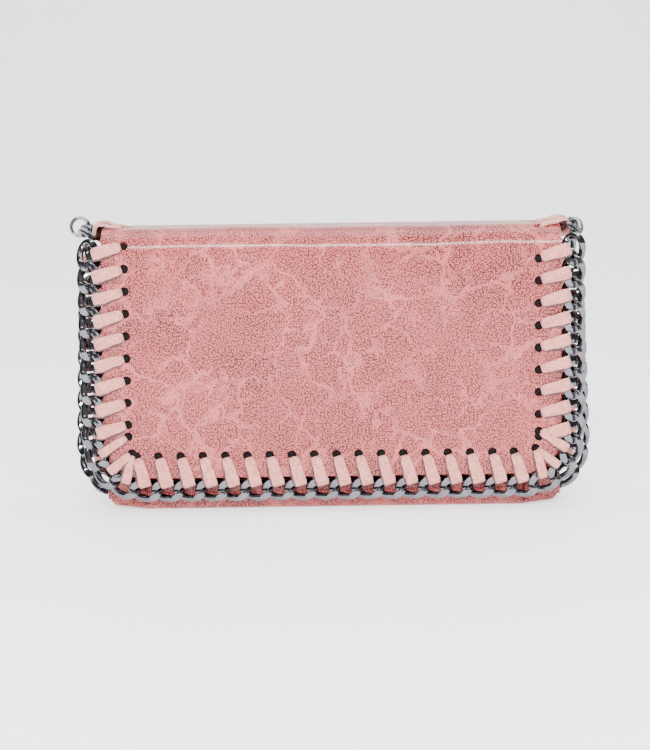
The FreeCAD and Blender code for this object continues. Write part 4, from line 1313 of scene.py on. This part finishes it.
def place_gusset(u, v):
    """A U-shaped strip: down the left end, along the bottom and up the right end."""
    r = 2.0
    side = COIN_TOP - 6 - r
    half = COIN_HALF - r
    s = abs(u)
    if s < half:
        x, z = s, 6.0
    elif s < half + r * math.pi / 2:
        a = (s - half) / r
        x, z = half + r * math.sin(a), 6 + r - r * math.cos(a)
    else:
        x, z = COIN_HALF, 6 + r + min(s - half - r * math.pi / 2, side)
    return Vector((math.copysign(x, u), -v, z))


gusset_run = COIN_HALF - 2 + math.pi + COIN_TOP - 8
gusset_outline = rounded_outline(-gusset_run, gusset_run, -COIN_Y, COIN_Y, (0, 0, 0, 0))
points, triangles = cut_sheet(gusset_outline, [], 1.5)
gusset = bent_sheet("coin_gusset_cloth", points, triangles, place_gusset, 0.7, twill, 0.0)
tapes = []


def place_tape(u, v):
    return Vector((u, v, COIN_TOP + 0.5))


for sign, word in ((-1, "front"), (1, "back")):
    y0, y1 = sorted((sign * 0.9, sign * 3.6))
    points, triangles = cut_sheet(rounded_outline(-62, 62, y0, y1, (0.3, 0.3, 0.3, 0.3)), [], 0.9)
    tape = bent_sheet("zip_tape_%s_cloth" % word, points, triangles, place_tape, 0.5, tape_cloth, 0.12)
    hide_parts("zip_tape_" + word)
    tapes.append(tape)
cards = []
slot_runs = []
for index, top in enumerate((80.0, 72.0, 64.0, 56.0)):
    back = HALF_DEPTH - LEATHER - 0.7 - 0.2 - 0.6 - 0.1 - index * 0.9
    name = "card_slot_%d" % (index + 1)
    card = panel(name + "_leather", 44.0, 6, top, back - 0.8, 0.8, inner_leather, 1.5, 0.05, 2.2)
    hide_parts(name)
    cards.append(card)
    if index == 3:
        sewn_y = back - 0.82
        for x in (-42.6, 42.6):
            slot_runs.append((Vector((x, sewn_y, 8)), Vector((x, sewn_y, top - 1)), FACE_NORMAL))
        slot_runs.append((Vector((-42, sewn_y, 7.4)), Vector((42, sewn_y, 7.4)), FACE_NORMAL))


def place_binding(u, v):
    """Up the front of the mouth's edge, over it, and down inside."""
    front, back, top, r = -16.1, -13.5, 96.5, 1.3
    if v < 3.2:
        return Vector((u, front, 92.0 + v))
    if v < 3.2 + r * math.pi:
        a = (v - 3.2) / r
        return Vector((u, front + r - r * math.cos(a), top - r + r * math.sin(a)))
    return Vector((u, back, top - r - (v - 3.2 - r * math.pi)))


points, triangles = cut_sheet(rounded_outline(-73, 73, 0, 3.2 + 1.3 * math.pi + 2.0, (1, 1, 1, 1)), [], 0.9)
binding = bent_sheet("mouth_binding_leather", points, triangles, place_binding, 0.45, inner_leather, 0.12)
for piece, node, name in (
    (leaf_front, "coin_leaf_front", "inner_leather"), (leaf_back, "coin_leaf_back", "inner_leather"),
    (gusset, "coin_gusset", "lining_twill"), (binding, "mouth_binding", "inner_leather"),
):
    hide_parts(node)
for piece in [leaf_front, leaf_back, gusset, binding] + tapes + cards:
    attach(piece, "body")
slot_runs.append((Vector((-64, -3.62, 76.8)), Vector((64, -3.62, 76.8)), FACE_NORMAL))
slot_runs.append((Vector((-72, -16.12, 93.0)), Vector((72, -16.12, 93.0)), FACE_NORMAL))
sewn = thread("pocket_stitching", slot_runs, "body")
print("panels", len(cards), "cards; stitching", len(sewn.data.polygons))

# %% [markdown]
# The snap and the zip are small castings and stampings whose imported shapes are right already. They keep those
# shapes, with a bevel that rounds their edges a little, and take a metal finish.

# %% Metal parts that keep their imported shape
for node, body in ((n, b) for b, names in frame["record"]["behaviour"]["bodies"].items() for n in names):
    if node.startswith(("snap_", "zip_")) and not node.startswith("zip_tape"):
        part = frame["nodes"][node]
        part.data.materials.clear()
        part.data.materials.append(snap_metal if node.startswith("snap_") else zip_metal)
        rounded = part.modifiers.new("rounded_edges", "BEVEL")
        rounded.width = 0.12 * MM if node.startswith("zip_teeth") or "washer" in node else 0.18 * MM
        rounded.segments, rounded.limit_method, rounded.angle_limit = 2, "ANGLE", math.radians(40)
        print(node, "on", body)


# %% [markdown]
# The stage is a pale floor that curves up behind, under large soft lights, with the camera almost level and
# far away so that the wallet's sides stay nearly straight.

# %% Floor, light and camera
def plain_stage():
    f = Finish("floor_white", 0.55)
    f.shader.inputs["Base Color"].default_value = (0.93, 0.93, 0.93, 1)
    place = f.place(False)
    f.bump(f.noise(place, 60.0, 2.0), 0.0001, 0.1)
    f.shader.inputs["Emission Color"].default_value = (1, 1, 1, 1)
    f.shader.inputs["Emission Strength"].default_value = 0.95
    rows = []
    for i in range(33):
        s = i / 32
        if s < 0.4:
            rows.append((-1.6 + s / 0.4 * 2.2, 0.0))
        elif s < 0.7:
            a = (s - 0.4) / 0.3 * math.pi / 2
            rows.append((0.6 + 0.7 * math.sin(a), 0.7 - 0.7 * math.cos(a)))
        else:
            rows.append((1.3, 0.7 + (s - 0.7) / 0.3 * 1.6))
    points = [Vector((x, y, z)) / MM for y, z in rows for x in (-2.2, 2.2)]
    faces = [(2 * i, 2 * i + 1, 2 * i + 3, 2 * i + 2) for i in range(len(rows) - 1)]
    floor = mesh_piece("floor", points, faces, f.material, crisp=60)
    return floor


def soft_light(name, spot, target, width, height, power):
    data = bpy.data.lights.new(name, "AREA")
    data.shape, data.size, data.size_y, data.energy = "RECTANGLE", width, height, power
    lamp = bpy.data.objects.new(name, data)
    lamp.location = spot
    lamp.rotation_euler = (Vector(target) - Vector(spot)).to_track_quat("-Z", "Y").to_euler()
    bpy.context.scene.collection.objects.link(lamp)


floor = plain_stage()
world = bpy.data.worlds.new("studio")
world.use_nodes = True
sky = world.node_tree
around = sky.nodes.new("ShaderNodeTexCoord")
split = sky.nodes.new("ShaderNodeSeparateXYZ")
fade = sky.nodes.new("ShaderNodeValToRGB")
bands = fade.color_ramp.elements
bands[0].position, bands[1].position = 0.0, 0.90
for at in (0.10, 0.16, 0.50):
    bands.new(at)
for band, bright in zip(bands, (0.30, 0.30, 0.03, 0.08, 0.55)):
    band.color = (bright, bright, bright, 1)
sky.links.new(around.outputs["Generated"], split.inputs["Vector"])
sky.links.new(split.outputs["Z"], fade.inputs["Fac"])
sky.links.new(fade.outputs["Color"], sky.nodes["Background"].inputs["Color"])
bpy.context.scene.world = world
middle = (0, 0, 0.055)
soft_light("strip", (0.0, -0.95, 0.60), middle, 0.9, 0.12, 26)
soft_light("top", (0.0, 0.05, 1.1), middle, 1.2, 0.7, 15)
soft_light("left", (-0.9, -0.8, 0.45), middle, 0.35, 0.8, 1.3)
soft_light("right", (0.9, -0.8, 0.5), middle, 0.35, 0.8, 1.3)

camera_data = bpy.data.cameras.new("camera")
camera_data.lens, camera_data.sensor_width = 100.0, 36.0
camera = bpy.data.objects.new("camera", camera_data)
bpy.context.scene.collection.objects.link(camera)
bpy.context.scene.camera = camera
RISE = math.radians(8.3)
aim = Vector((-0.0030, -0.012, 0.0520))
distance = 0.2925 * 100 / 36
camera.location = aim + Vector((0, -math.cos(RISE), math.sin(RISE))) * distance
look = (aim - camera.location).to_track_quat("-Z", "Y")
camera.rotation_mode = "QUATERNION"
camera.rotation_quaternion = look @ Matrix.Rotation(math.radians(-0.8), 3, "Z").to_quaternion()
print("camera", tuple(round(c, 3) for c in camera.location))
